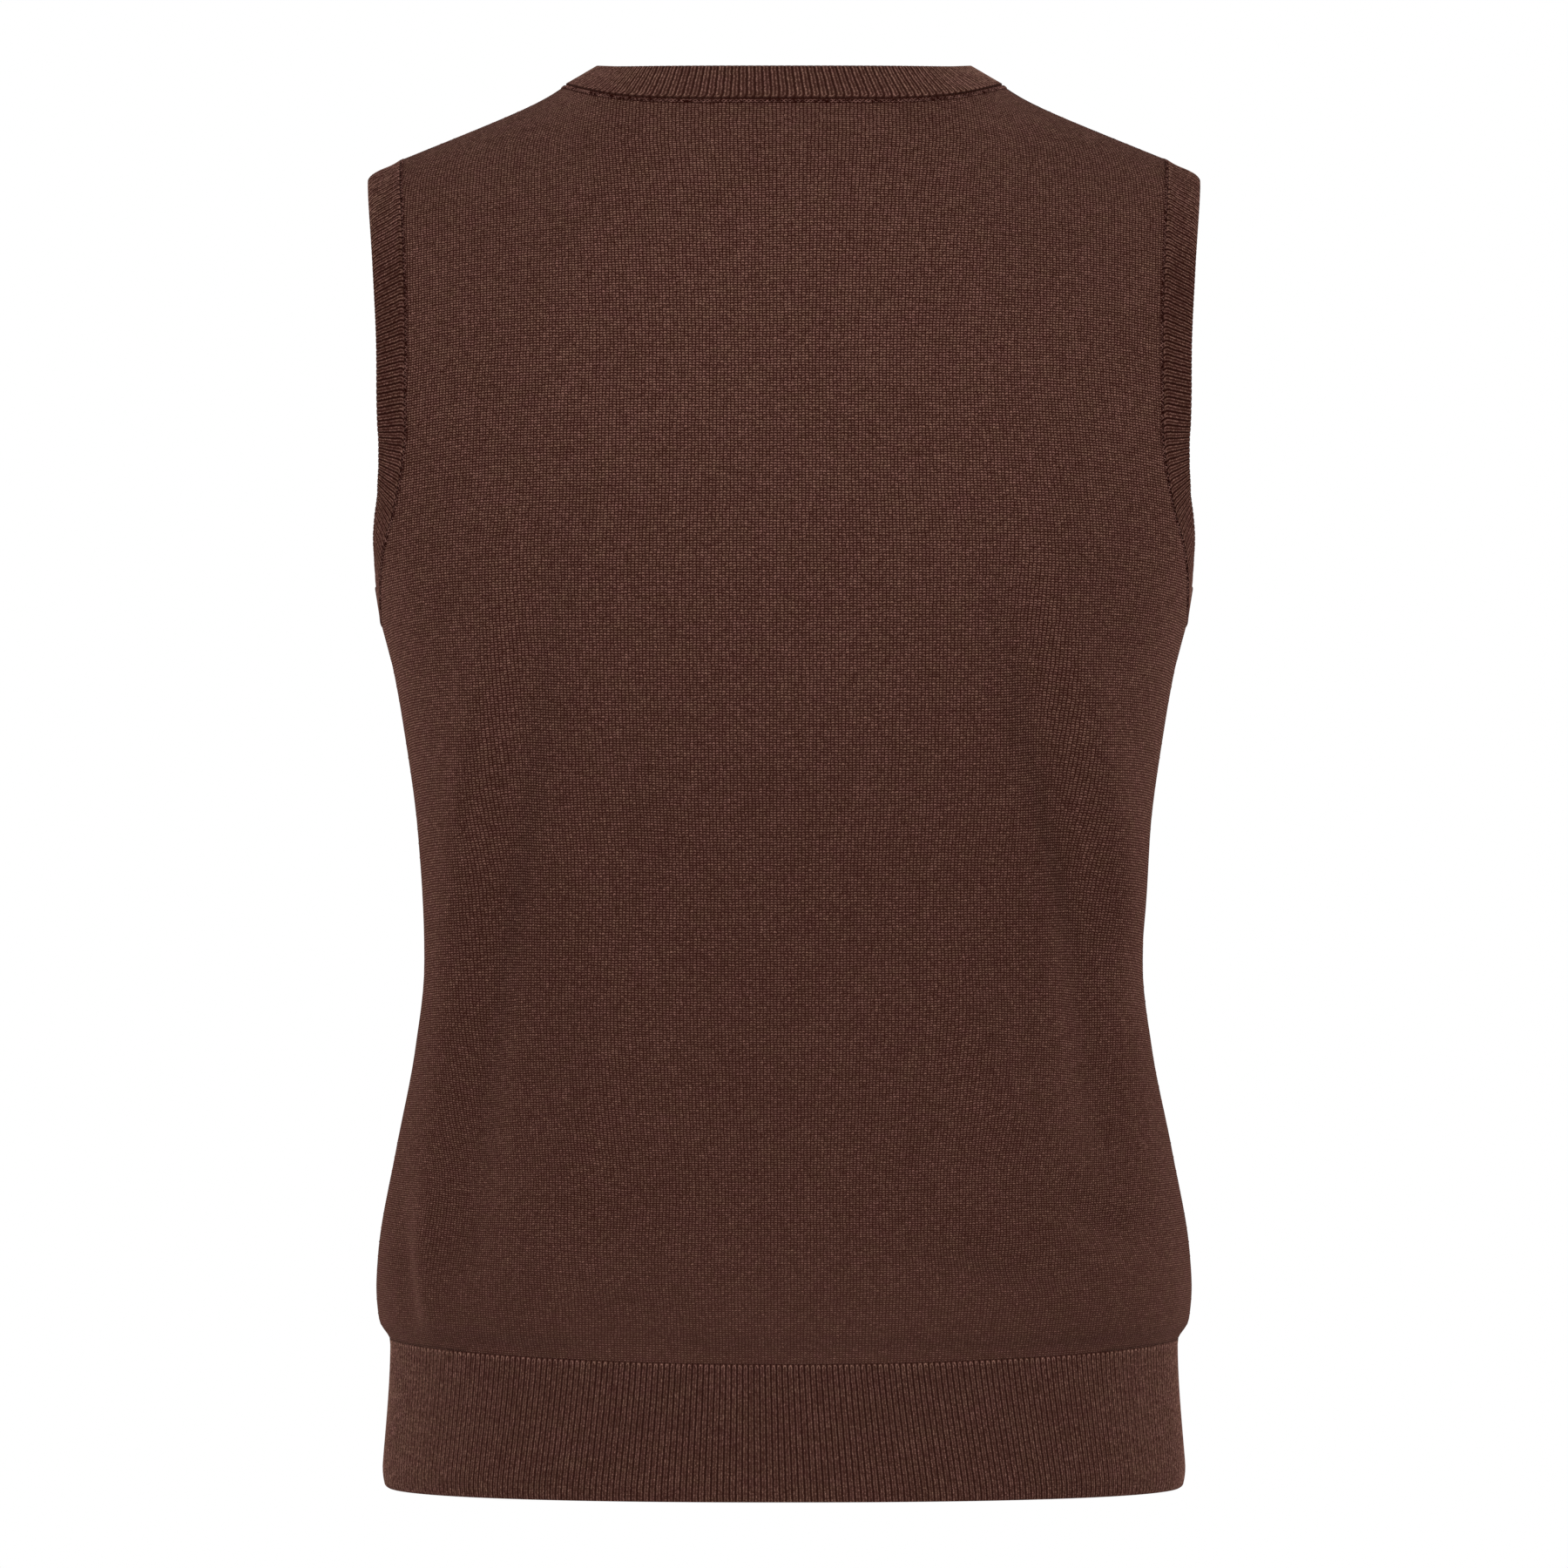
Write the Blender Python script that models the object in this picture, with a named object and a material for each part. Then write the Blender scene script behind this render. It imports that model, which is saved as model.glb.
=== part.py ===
"""A fine-knit sweater vest, hollow and filled out as when it is worn.

Metres, +Z up. The front faces -Y and the wearer's left side is +X. The origin lies on the centre
plane, level with the points where the shoulder seams meet the neckband.

Each piece is a flat slab of cloth, one square for each few stitches, whose points are then carried
on to the worn form. The form is a stack of sections that stand on the side seams (Y = 0), drawn in
over the shoulders. The narrow bands grow out of the edges of the panels that they are linked to.
"""

import math

import bmesh
import bpy
import numpy as np

# The cut. A drop is measured down from the shoulder seam's neck end.
NECK_HALF = 0.0878  # centre to the shoulder seam's neck end
SHOULDER_SLOPE = 0.404
SHOULDER_HOLLOW = 0.0034  # how far the seam dips as it leaves the neck
HOLLOW_RUN = 0.0090
BACK_NECK_DROP = 0.0093
BACK_NECK_SQUARE = 5.0
FRONT_NECK_DROP = 0.165
FRONT_NECK_BOW = 0.85  # 1 is a straight V
UNDERARM_DROP = 0.2175
RIB_TOP_DROP = 0.5100
RIB_TOP_RISE = 0.0050  # the rib's upper edge is this much higher at the side seams
HEM_DROP = 0.5642

# The cloth.
JERSEY_WALL = 0.0015
BAND_WALL = 0.0016
RIB_RAISED = 0.0005
SEAM_GAP = 0.0003
HEM_RIBS = 186  # on the back, and again on the front
NECKBAND_WIDTH = 0.0155
ARMBAND_WIDTH = 0.0160
BAND_RIB_PITCH = 0.0055  # each raised rib stands for a group of finer ones

# The form over the shoulders.
NAPE_RISE = (SHOULDER_SLOPE + SHOULDER_HOLLOW / HOLLOW_RUN) * NECK_HALF / 3  # smooth at the neck
SHOULDER_ROUND_BACK = 0.110  # the drop over which the form comes to its full depth
SHOULDER_ROUND_FRONT = 0.125

# Points across and up a panel.
PANEL_COLUMNS = 20
ARMHOLE_COLUMNS = 6  # columns that narrow beside the armhole, each side
ARMHOLE_GRADING = 1.5  # power by which they narrow, most at the edge
SIDE_GRADING = 0.4  # columns are this much closer than even at the side seams
SEAM_GRADING = 0.65  # power by which columns close up along a shoulder seam, towards the neck
NECK_GRADING = 1.6  # power by which they open out along the neck's edge
FINE = 721  # points along a row before it is divided
NUDGE = 0.0001  # the small step that slopes are taken over
SHARP_ANGLE = math.radians(50)  # a wall's corners are sharper than this, its curves are not

BACK, FRONT = 1, -1
SHOULDER_COLUMNS = {BACK: 4, FRONT: 3}  # columns that end on the shoulder seam, each side

# drop, half width, depth behind and before the side seams, squareness of the section
SECTIONS = (
    (0.000, 0.1820, 0.0950, 0.0880, 2.30),
    (0.060, 0.1820, 0.0985, 0.0950, 2.30),
    (0.120, 0.1820, 0.1010, 0.1060, 2.30),
    (0.153, 0.1800, 0.1010, 0.1110, 2.32),
    (0.187, 0.1715, 0.1000, 0.1150, 2.35),
    (0.208, 0.1650, 0.0990, 0.1165, 2.36),
    (0.229, 0.1587, 0.0975, 0.1165, 2.36),
    (0.260, 0.1529, 0.0935, 0.1130, 2.34),
    (0.303, 0.1472, 0.0865, 0.1030, 2.30),
    (0.355, 0.1444, 0.0830, 0.0955, 2.26),
    (0.388, 0.1481, 0.0890, 0.0960, 2.26),
    (0.429, 0.1562, 0.1010, 0.0990, 2.28),
    (0.471, 0.1634, 0.1100, 0.1010, 2.30),
    (0.484, 0.1641, 0.1115, 0.1015, 2.32),
    (0.497, 0.1630, 0.1110, 0.1010, 2.32),
    (0.506, 0.1583, 0.1075, 0.0990, 2.30),
    (0.5642, 0.1620, 0.1085, 0.1000, 2.30),
)

# drop, how far the panel reaches towards the form's half width: the back, the front
ARMHOLE = (
    (0.0000, 0.850, 0.846),
    (0.0312, 0.846, 0.842),
    (0.0700, 0.833, 0.806),
    (0.1060, 0.826, 0.782),
    (0.1400, 0.830, 0.782),
    (0.1560, 0.846, 0.800),
    (0.1720, 0.882, 0.846),
    (0.1867, 0.930, 0.908),
    (0.1997, 0.963, 0.953),
    (0.2100, 0.984, 0.980),
    (0.2175, 1.000, 1.000),
)

# drop, how far an armband is turned outwards and downwards from the form's own direction
ARMBAND_TURNS = (
    (0.030, 0.18, 0.30),
    (0.060, 0.13, 0.20),
    (0.100, 0.00, 0.05),
    (0.140, -0.10, 0.00),
    (0.160, -0.25, 0.00),
    (0.176, -0.31, 0.00),
    (0.200, -0.31, 0.00),
    (0.2175, -0.20, 0.00),
)

# place behind the shoulder seams, height of the neckband's free edge
NECKBAND_HEIGHTS = (
    (0.000, 0.0080),
    (0.020, 0.0068),
    (0.040, 0.0056),
    (0.070, 0.0043),
)
NECKBAND_SETTLES = 0.035  # how far before the shoulder seams it lies in line with the front

# drops of the rows below the underarm, and shares of the way from there to the panel's upper edge
LOWER_ROWS = (0.499, 0.487, 0.471, 0.450, 0.422, 0.392, 0.360, 0.325, 0.290, 0.258, 0.234)
UPPER_ROWS = (0, 0.008, 0.025, 0.06, 0.12, 0.20, 0.30, 0.41, 0.53, 0.65, 0.76, 0.86, 0.93, 0.975, 1)

# panel, across, drop, half width, half length, lean across for each metre down, height
FOLDS = (
    (BACK, 0.078, 0.330, 0.034, 0.120, 0.10, -0.0022),
    (BACK, -0.076, 0.322, 0.036, 0.135, -0.12, -0.0026),
    (BACK, 0.118, 0.225, 0.018, 0.060, -0.55, -0.0016),
    (BACK, -0.116, 0.232, 0.020, 0.066, 0.50, -0.0018),
    (BACK, 0.000, 0.360, 0.040, 0.140, 0.00, -0.0016),
    (BACK, 0.136, 0.472, 0.014, 0.040, 0.05, 0.0016),
    (BACK, -0.140, 0.476, 0.015, 0.036, -0.06, 0.0015),
    (BACK, 0.100, 0.474, 0.016, 0.036, 0.05, -0.0012),
    (BACK, -0.106, 0.480, 0.017, 0.032, -0.05, -0.0011),
    (FRONT, 0.072, 0.335, 0.034, 0.115, 0.08, -0.0020),
    (FRONT, -0.070, 0.328, 0.036, 0.125, -0.10, -0.0023),
    (FRONT, 0.122, 0.228, 0.018, 0.055, -0.50, -0.0016),
    (FRONT, -0.120, 0.222, 0.020, 0.060, 0.52, -0.0017),
    (FRONT, 0.134, 0.474, 0.014, 0.038, 0.05, 0.0015),
    (FRONT, -0.138, 0.470, 0.015, 0.040, -0.05, 0.0014),
)

JERSEY_COLOUR = (0.078, 0.032, 0.024)
RIB_COLOUR = (0.066, 0.027, 0.020)
CLOTH_ROUGHNESS = 0.9


def unit(vectors):
    return vectors / np.linalg.norm(vectors, axis=-1, keepdims=True)


def curve_through(table, column):
    """A smooth curve through one column of a table, by drop, that never overshoots its rows."""
    x = np.array([row[0] for row in table])
    y = np.array([row[column] for row in table])
    gap = np.diff(x)
    slope = np.diff(y) / gap
    lean = np.zeros(len(x))
    for k in range(1, len(gap)):
        if slope[k - 1] * slope[k] > 0:
            before = 2 * gap[k] + gap[k - 1]
            after = gap[k] + 2 * gap[k - 1]
            lean[k] = (before + after) / (before / slope[k - 1] + after / slope[k])
    lean[0], lean[-1] = slope[0], slope[-1]

    def at(drop):
        drop = np.clip(drop, x[0], x[-1])
        k = np.clip(np.searchsorted(x, drop) - 1, 0, len(gap) - 1)
        t = (drop - x[k]) / gap[k]
        level = y[k] * (1 + 2 * t) * (1 - t) ** 2 + y[k + 1] * t * t * (3 - 2 * t)
        return level + gap[k] * (lean[k] * t * (1 - t) ** 2 + lean[k + 1] * t * t * (t - 1))

    return at


half_width = curve_through(SECTIONS, 1)
depth = {BACK: curve_through(SECTIONS, 2), FRONT: curve_through(SECTIONS, 3)}
squareness = curve_through(SECTIONS, 4)
armhole_share = {BACK: curve_through(ARMHOLE, 1), FRONT: curve_through(ARMHOLE, 2)}
shoulder_round = {BACK: SHOULDER_ROUND_BACK, FRONT: SHOULDER_ROUND_FRONT}


def ridge(x):
    """Height of the form's ridge: the shoulder seams, joined across the neck by a low arch."""
    out = np.maximum(np.abs(x) - NECK_HALF, 0)
    seam = -SHOULDER_SLOPE * out - SHOULDER_HOLLOW * (1 - np.exp(-out / HOLLOW_RUN))
    return seam + NAPE_RISE * (1 - np.minimum(np.abs(x) / NECK_HALF, 1) ** 3)


def upper_edge(side, x):
    """Height of a panel's upper edge: the neck between the shoulder seams."""
    share = np.minimum(np.abs(x) / NECK_HALF, 1)
    if side == BACK:
        neck = -BACK_NECK_DROP * (1 - share**BACK_NECK_SQUARE)
    else:
        neck = -FRONT_NECK_DROP * (1 - share) ** FRONT_NECK_BOW
    return np.where(share < 1, neck, ridge(x))


def reach(side, x, z):
    """How far the form stands from the side seams' plane at this place."""
    square = squareness(-z)
    across = np.minimum(np.abs(x) / half_width(-z), 1)
    section = (1 - across**square) ** (1 / square)
    over = np.clip((ridge(x) - z) / shoulder_round[side], 0, 1)
    return side * depth[side](-z) * section * np.sqrt(1 - (1 - over) ** 2)


def measured(path):
    """The distance along a path at each of its points."""
    steps = np.linalg.norm(np.diff(path, axis=0), axis=1)
    return np.concatenate([[0], np.cumsum(steps)])


def points_at(path, places):
    """Points at these distances along a path."""
    length = measured(path)
    return np.stack([np.interp(places, length, path[:, k]) for k in range(3)], 1)


def divided(path, shares):
    """Points at these shares of a path's length."""
    return points_at(path, shares * measured(path)[-1])


def across_shares():
    """Where the columns of a panel stand on a row, as shares of its length."""
    even = np.linspace(0, 1, PANEL_COLUMNS + 1)
    return even - SIDE_GRADING * np.sin(2 * math.pi * even) / (2 * math.pi)


def row_path(side, edge, height):
    """A fine path across the form, from the wearer's left edge to the right one."""
    x = edge * np.cos(np.linspace(0, math.pi, FINE))
    z = height(x)
    return np.stack([x, reach(side, x, z), z], 1)


def level_row(side, drop, rise, shares):
    """A row below the underarm, from side seam to side seam, lifted a little at its ends."""
    width = half_width(drop - rise)
    return divided(row_path(side, width, lambda x: -drop + rise * (x / width) ** 2), shares)


def underarm_length(side):
    """Half the length of the row that runs from side seam to side seam at the underarm."""
    width = half_width(UNDERARM_DROP)
    path = row_path(side, width, lambda x: np.full_like(x, -UNDERARM_DROP))
    return measured(path)[-1] / 2


def upper_row(side, share, corner):
    """A row between the armholes. Rows fan out, from level at the underarm to the upper edge."""
    edge = half_width(UNDERARM_DROP)
    for _ in range(8):  # the row's ends lie on the armhole, whose width depends on their height
        end = UNDERARM_DROP - share * (UNDERARM_DROP + ridge(edge))
        edge = half_width(end) * armhole_share[side](end)
    path = row_path(side, edge, lambda x: -UNDERARM_DROP + share * (upper_edge(side, x) + UNDERARM_DROP))
    length = measured(path)
    half = length[-1] / 2

    # What the armhole takes from a row's length comes out of its outer columns.
    middle = PANEL_COLUMNS // 2
    column = np.arange(middle + 1)
    full = underarm_length(side)
    outer = np.clip(1 - column / ARMHOLE_COLUMNS, 0, 1) ** ARMHOLE_GRADING
    from_centre = full * (1 - 2 * across_shares()[: middle + 1]) - (full - half) * outer
    low = (half - from_centre) / length[-1]

    # On the upper edge, one column ends where the shoulder seam meets the neck.
    at_corner = np.interp(-NECK_HALF, -path[:, 0], length) / length[-1]
    along_neck = np.clip((column - corner) / (middle - corner), 0, 1) ** NECK_GRADING
    along_seam = np.minimum(column / corner, 1) ** SEAM_GRADING
    top = along_seam * at_corner + along_neck * (0.5 - at_corner)
    shares = low + share**2 * (top - low)
    return divided(path, np.concatenate([shares, 1 - shares[-2::-1]]))


def folded(side, points, normals):
    """The points moved along their normals by the soft folds of their panel."""
    moved = points.copy()
    for panel, across, drop, width, length, lean, height in FOLDS:
        if panel != side:
            continue
        down = -points[..., 2] - drop
        aside = points[..., 0] - across - lean * down
        along = np.clip(np.abs(down) / length, 0, 1)
        swell = height * np.exp(-((aside / width) ** 2)) * np.cos(along * math.pi / 2) ** 2
        moved += normals * swell[..., None]
    return moved


def facing(side, points):
    """Outward normals of the form, from the slope of its squared reach, which has no sharp edge."""
    x, y, z = np.moveaxis(points, -1, 0)
    across = reach(side, x + NUDGE, z) ** 2 - reach(side, x - NUDGE, z) ** 2
    upward = reach(side, x, z + NUDGE) ** 2 - reach(side, x, z - NUDGE) ** 2
    return unit(np.stack([-across, 4 * NUDGE * y, -upward], -1))


def panel_net(side):
    """The outer points of a jersey panel, row by row from the rib up."""
    shares = across_shares()
    rib_top = RIB_TOP_DROP - SEAM_GAP
    rows = [level_row(side, rib_top, RIB_TOP_RISE, shares)]
    for drop in LOWER_ROWS:
        rise = RIB_TOP_RISE * ((drop - UNDERARM_DROP) / (rib_top - UNDERARM_DROP)) ** 2
        rows.append(level_row(side, drop, rise, shares))
    rows += [upper_row(side, share, SHOULDER_COLUMNS[side]) for share in UPPER_ROWS]
    net = np.stack(rows)
    return net if side == BACK else net[:, ::-1]


def panel_walls(side):
    """Outer and inner points of a jersey panel, a seam's gap clear of the other panel."""
    net = panel_net(side)
    normals = facing(side, net)
    normals[0, :, 2] = 0  # level where the rib joins it
    normals = unit(normals)
    net[..., 1] += side * SEAM_GAP / 2
    outer = folded(side, net, normals)
    return outer, outer - JERSEY_WALL * normals


def make_wall(name, outer, inner, material, collection):
    """One closed piece of cloth: a flat grid, thickened, whose points take their worn places."""
    rows, columns = outer.shape[0] - 1, outer.shape[1] - 1
    bm = bmesh.new()
    bmesh.ops.create_grid(bm, x_segments=columns, y_segments=rows, size=0.5)
    thickened = bmesh.ops.extrude_face_region(bm, geom=bm.faces[:])
    lifted = {item for item in thickened["geom"] if isinstance(item, bmesh.types.BMVert)}
    for vertex in bm.verts:
        column = round((vertex.co.x + 0.5) * columns)
        row = round((vertex.co.y + 0.5) * rows)
        vertex.co = (outer if vertex in lifted else inner)[row, column]
    bmesh.ops.recalc_face_normals(bm, faces=bm.faces[:])
    if bm.calc_volume(signed=True) < 0:
        bmesh.ops.reverse_faces(bm, faces=bm.faces[:])
    mesh = bpy.data.meshes.new(name)
    bm.to_mesh(mesh)
    bm.free()
    mesh.shade_smooth()
    mesh.set_sharp_from_angle(angle=SHARP_ANGLE)
    mesh.materials.append(material)
    piece = bpy.data.objects.new(name, mesh)
    collection.objects.link(piece)
    return piece


def make_hem_rib(side, name, material, collection):
    """The welt under a panel: every second column of its outer points is a rib's crest."""
    shares = np.linspace(0, 1, 2 * HEM_RIBS + 1)
    rows = [level_row(side, HEM_DROP, 0, shares), level_row(side, RIB_TOP_DROP, RIB_TOP_RISE, shares)]
    net = np.stack(rows)
    if side == FRONT:
        net = net[:, ::-1]
    normals = facing(side, net)
    normals[..., 2] = 0
    normals = unit(normals)
    net[..., 1] += side * SEAM_GAP / 2
    valley = net - RIB_RAISED / 2 * normals
    outer = valley.copy()
    outer[:, 1::2] += RIB_RAISED * normals[:, 1::2]
    return make_wall(name, outer, valley - BAND_WALL * normals, material, collection)


def ribbed_stations(edge):
    """Places along an edge as (stretch, share of it, on a crest), in whole ribs between points."""
    stations = []
    for k, length in enumerate(np.linalg.norm(np.diff(edge, axis=0), axis=1)):
        ribs = round(length / BAND_RIB_PITCH)
        stations += [(k, i / max(2 * ribs, 1), i % 2) for i in range(max(2 * ribs, 1))]
    return stations + [(len(edge) - 2, 1.0, 0)]


def edge_tangents(edge, closed):
    """The direction of an edge at each of its points."""
    stretch = unit(np.diff(edge, axis=0))
    before = np.concatenate([stretch[-1:] if closed else stretch[:1], stretch])
    after = np.concatenate([stretch, stretch[:1] if closed else stretch[-1:]])
    return unit(before + after)


def make_band(name, edge_outer, edge_inner, width, direction, mitre, material, collection):
    """A ribbed strip linked to an edge, whose two ends meet.

    It leaves the edge in the panel's own direction, as changed by direction. Towards a mitred end,
    where mitre is the slope that the two ends meet at, its ribs lean so that they fill the corner."""
    stations = ribbed_stations(edge_outer)

    def along(values):
        return np.stack([values[k] + t * (values[k + 1] - values[k]) for k, t, _ in stations])

    outer, inner = along(edge_outer), along(edge_inner)
    normals = unit(outer - inner)
    forward = unit(along(edge_tangents(edge_outer, closed=not mitre)))
    away = unit(np.cross(normals, forward))
    free = outer + width * direction(outer, away)
    if mitre:
        distance = measured(outer)
        lead = width * mitre
        from_end = np.minimum(distance, distance[-1] - distance)
        leaning = np.where(from_end < 2 * lead, lead + from_end / 2, from_end)
        leaning = np.where(distance < distance[-1] / 2, leaning, distance[-1] - leaning)
        free = np.stack([np.interp(leaning, distance, free[:, k]) for k in range(3)], 1)
    facing_out = unit(np.cross(forward, free - outer))
    gap = SEAM_GAP * away
    if mitre:
        gap[[0, -1]] = 0, 0, SEAM_GAP * math.hypot(1, mitre)
    crest = RIB_RAISED * np.array([on_crest for _, _, on_crest in stations])[None, :, None]
    outside = np.stack([outer + gap, free]) + crest * np.stack([normals, facing_out])
    inside = np.stack([inner + gap, free - BAND_WALL * facing_out])
    if mitre:
        for wall in (outside, inside):
            wall[:, 0, 0] = SEAM_GAP / 2
            wall[:, -1, 0] = -SEAM_GAP / 2
    return make_wall(name, outside, inside, material, collection)


def neckband_direction(points, away):
    """The band stands steeply at the nape and lies in line with the panel on the front."""
    level = unit(away * (1, 1, 0))
    place, height = np.array(NECKBAND_HEIGHTS).T
    nape = points[:, 1] > 0
    rise = np.interp(points[:, 1], place, height) - np.where(nape, points[:, 2], 0)
    rise = np.clip(rise / NECKBAND_WIDTH, 0, 1)[:, None]
    standing = np.sqrt(1 - rise**2) * level + rise * np.array([0, 0, 1])
    settled = np.clip(-points[:, 1] / NECKBAND_SETTLES, 0, 1)[:, None]
    return unit(standing + settled * (away - standing))


def armband_direction(points, away):
    """The band opens or closes a little on the form, and falls over the shoulder's end."""
    drop, opening, falling = np.array(ARMBAND_TURNS).T
    outward = np.interp(-points[:, 2], drop, opening) * np.sign(points[:, 0])
    down = np.interp(-points[:, 2], drop, falling)
    return unit(away + np.stack([outward, np.zeros(len(points)), -down], 1))


def cloth(name, colour):
    material = bpy.data.materials.new(name)
    material.use_nodes = True
    material.diffuse_color = (*colour, 1.0)
    shader = material.node_tree.nodes["Principled BSDF"]
    shader.inputs["Base Color"].default_value = (*colour, 1.0)
    shader.inputs["Roughness"].default_value = CLOTH_ROUGHNESS
    shader.inputs["Metallic"].default_value = 0.0
    return material


def neck_edge(back, front):
    """The neck's edge as one line: from the V up the left front, round the back, down to the V."""
    middle = PANEL_COLUMNS // 2
    front_corner, back_corner = SHOULDER_COLUMNS[FRONT], SHOULDER_COLUMNS[BACK]
    left = front[-1, middle : PANEL_COLUMNS - front_corner + 1]
    nape = back[-1, back_corner : PANEL_COLUMNS - back_corner + 1]
    right = front[-1, front_corner : middle + 1]
    return np.concatenate([left, nape, right])


def armhole_edge(back, front, left):
    """An armhole's edge from the underarm and round to it, clockwise as seen from outside."""
    first = len(LOWER_ROWS) + 1
    if left:
        return np.concatenate([back[first:, 0], front[first:, -1][::-1]])
    return np.concatenate([front[first:, 0], back[first:, -1][::-1]])


def main():
    for obj in list(bpy.data.objects):
        bpy.data.objects.remove(obj)
    vest = bpy.data.collections.new("sweater_vest")
    bpy.context.scene.collection.children.link(vest)

    back_outer, back_inner = panel_walls(BACK)
    front_outer, front_inner = panel_walls(FRONT)
    make_wall("back", back_outer, back_inner, cloth("back", JERSEY_COLOUR), vest)
    make_wall("front", front_outer, front_inner, cloth("front", JERSEY_COLOUR), vest)
    make_hem_rib(BACK, "hem_rib_back", cloth("hem_rib_back", RIB_COLOUR), vest)
    make_hem_rib(FRONT, "hem_rib_front", cloth("hem_rib_front", RIB_COLOUR), vest)

    outer = neck_edge(back_outer, front_outer)
    inner = neck_edge(back_inner, front_inner)
    v_slope = FRONT_NECK_DROP * FRONT_NECK_BOW / NECK_HALF
    material = cloth("neckband", RIB_COLOUR)
    make_band("neckband", outer, inner, NECKBAND_WIDTH, neckband_direction, v_slope, material, vest)
    for name, left in (("armband_left", True), ("armband_right", False)):
        outer = armhole_edge(back_outer, front_outer, left)
        inner = armhole_edge(back_inner, front_inner, left)
        material = cloth(name, RIB_COLOUR)
        make_band(name, outer, inner, ARMBAND_WIDTH, armband_direction, 0, material, vest)


main()
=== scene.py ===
# %% [markdown]
# # A fine-knit sweater vest, seen from the back
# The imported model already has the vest's shape, as plain walls of cloth. This lesson dresses it:
# every wall is replaced by a thin shell with its real ribs, creases and stitches. The lesson goes
# from the camera and the light, through the yarn, to the panels, the bands and the linking thread.
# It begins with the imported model, which is loaded as a fixed frame that nothing here moves.

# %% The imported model
import math

import bpy
import numpy as np
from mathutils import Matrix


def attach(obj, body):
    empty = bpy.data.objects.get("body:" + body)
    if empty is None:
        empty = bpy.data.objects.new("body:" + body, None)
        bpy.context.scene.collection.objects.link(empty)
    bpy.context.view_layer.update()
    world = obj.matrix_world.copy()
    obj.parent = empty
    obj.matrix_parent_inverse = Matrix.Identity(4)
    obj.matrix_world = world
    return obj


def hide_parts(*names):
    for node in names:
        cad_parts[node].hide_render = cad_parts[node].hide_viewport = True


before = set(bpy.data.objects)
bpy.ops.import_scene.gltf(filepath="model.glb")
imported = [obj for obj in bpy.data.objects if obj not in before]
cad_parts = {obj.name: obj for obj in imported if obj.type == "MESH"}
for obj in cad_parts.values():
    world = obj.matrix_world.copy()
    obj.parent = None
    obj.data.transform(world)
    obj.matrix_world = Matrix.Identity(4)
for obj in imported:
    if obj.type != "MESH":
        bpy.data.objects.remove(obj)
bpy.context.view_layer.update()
print("walls of cloth in the model:", sorted(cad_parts))

# %% [markdown]
# ## The camera
# A garment is best seen from several metres away through a long lens, so that the shoulders and the
# hem are both seen nearly square on. The front of the vest faces -Y, so the camera stands at +Y,
# level with the middle of the back. A camera looks along its own -Z: a quarter turn about X makes
# it look along +Y, and the half turn about Z points it back at the vest.

# %% A long lens, level with the middle of the back
CAMERA_AWAY = 4.5
CAMERA_HEIGHT = -0.2815
LENS_MM = 256.4

bpy.ops.object.camera_add(
    location=(0, CAMERA_AWAY, CAMERA_HEIGHT), rotation=(math.radians(90), 0, math.radians(180))
)
camera = bpy.context.object
camera.name = "camera"
camera.data.lens = LENS_MM
bpy.context.scene.camera = camera
print("camera stands", CAMERA_AWAY, "m behind the vest")

# %% [markdown]
# ## The floor, the surroundings and the lamps
# The vest hangs free in front of plain white. The floor is a pale disc well below the hem. The
# surroundings look fully white, but shine on the cloth with less than half that strength, because
# light from all round hides its form. A Light Path node tells the two apart. Two large lamps stand
# high between the camera and the vest, left and right, and light the back. Two more stand level
# with the shoulders, beyond the corners of the front, so that only the rounded sides catch them and
# the middle stays darker. The colours are shown as they are, with the Standard view, so white stays
# white.

# %% A pale floor and white surroundings
FLOOR_HEIGHT = -0.95
FLOOR_RADIUS = 2.2
FLOOR_GREY = (0.8, 0.8, 0.8, 1)
SEEN_STRENGTH = 1.0
SHINING_STRENGTH = 0.45

bpy.context.scene.view_settings.view_transform = "Standard"
bpy.ops.object.select_all(action="DESELECT")
bpy.ops.mesh.primitive_circle_add(
    vertices=128, radius=FLOOR_RADIUS, fill_type="NGON", location=(0, 0, FLOOR_HEIGHT)
)
floor = bpy.context.object
floor.name = "floor"
floor_paint = bpy.data.materials.new("floor_paint")
floor_paint.use_nodes = True
floor_shader = floor_paint.node_tree.nodes["Principled BSDF"]
floor_shader.inputs["Base Color"].default_value = FLOOR_GREY
floor_shader.inputs["Roughness"].default_value = 0.9
floor.data.materials.append(floor_paint)

surround = bpy.data.worlds.new("surround")
surround.use_nodes = True
sky = surround.node_tree
seen = sky.nodes["Background"]
seen.inputs["Color"].default_value = (1, 1, 1, 1)
seen.inputs["Strength"].default_value = SEEN_STRENGTH
shining = sky.nodes.new("ShaderNodeBackground")
shining.inputs["Color"].default_value = (1, 1, 1, 1)
shining.inputs["Strength"].default_value = SHINING_STRENGTH
rays = sky.nodes.new("ShaderNodeLightPath")
either = sky.nodes.new("ShaderNodeMixShader")
sky.links.new(rays.outputs["Is Camera Ray"], either.inputs[0])
sky.links.new(shining.outputs[0], either.inputs[1])
sky.links.new(seen.outputs[0], either.inputs[2])
sky.links.new(either.outputs[0], sky.nodes["World Output"].inputs["Surface"])
bpy.context.scene.world = surround

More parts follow.
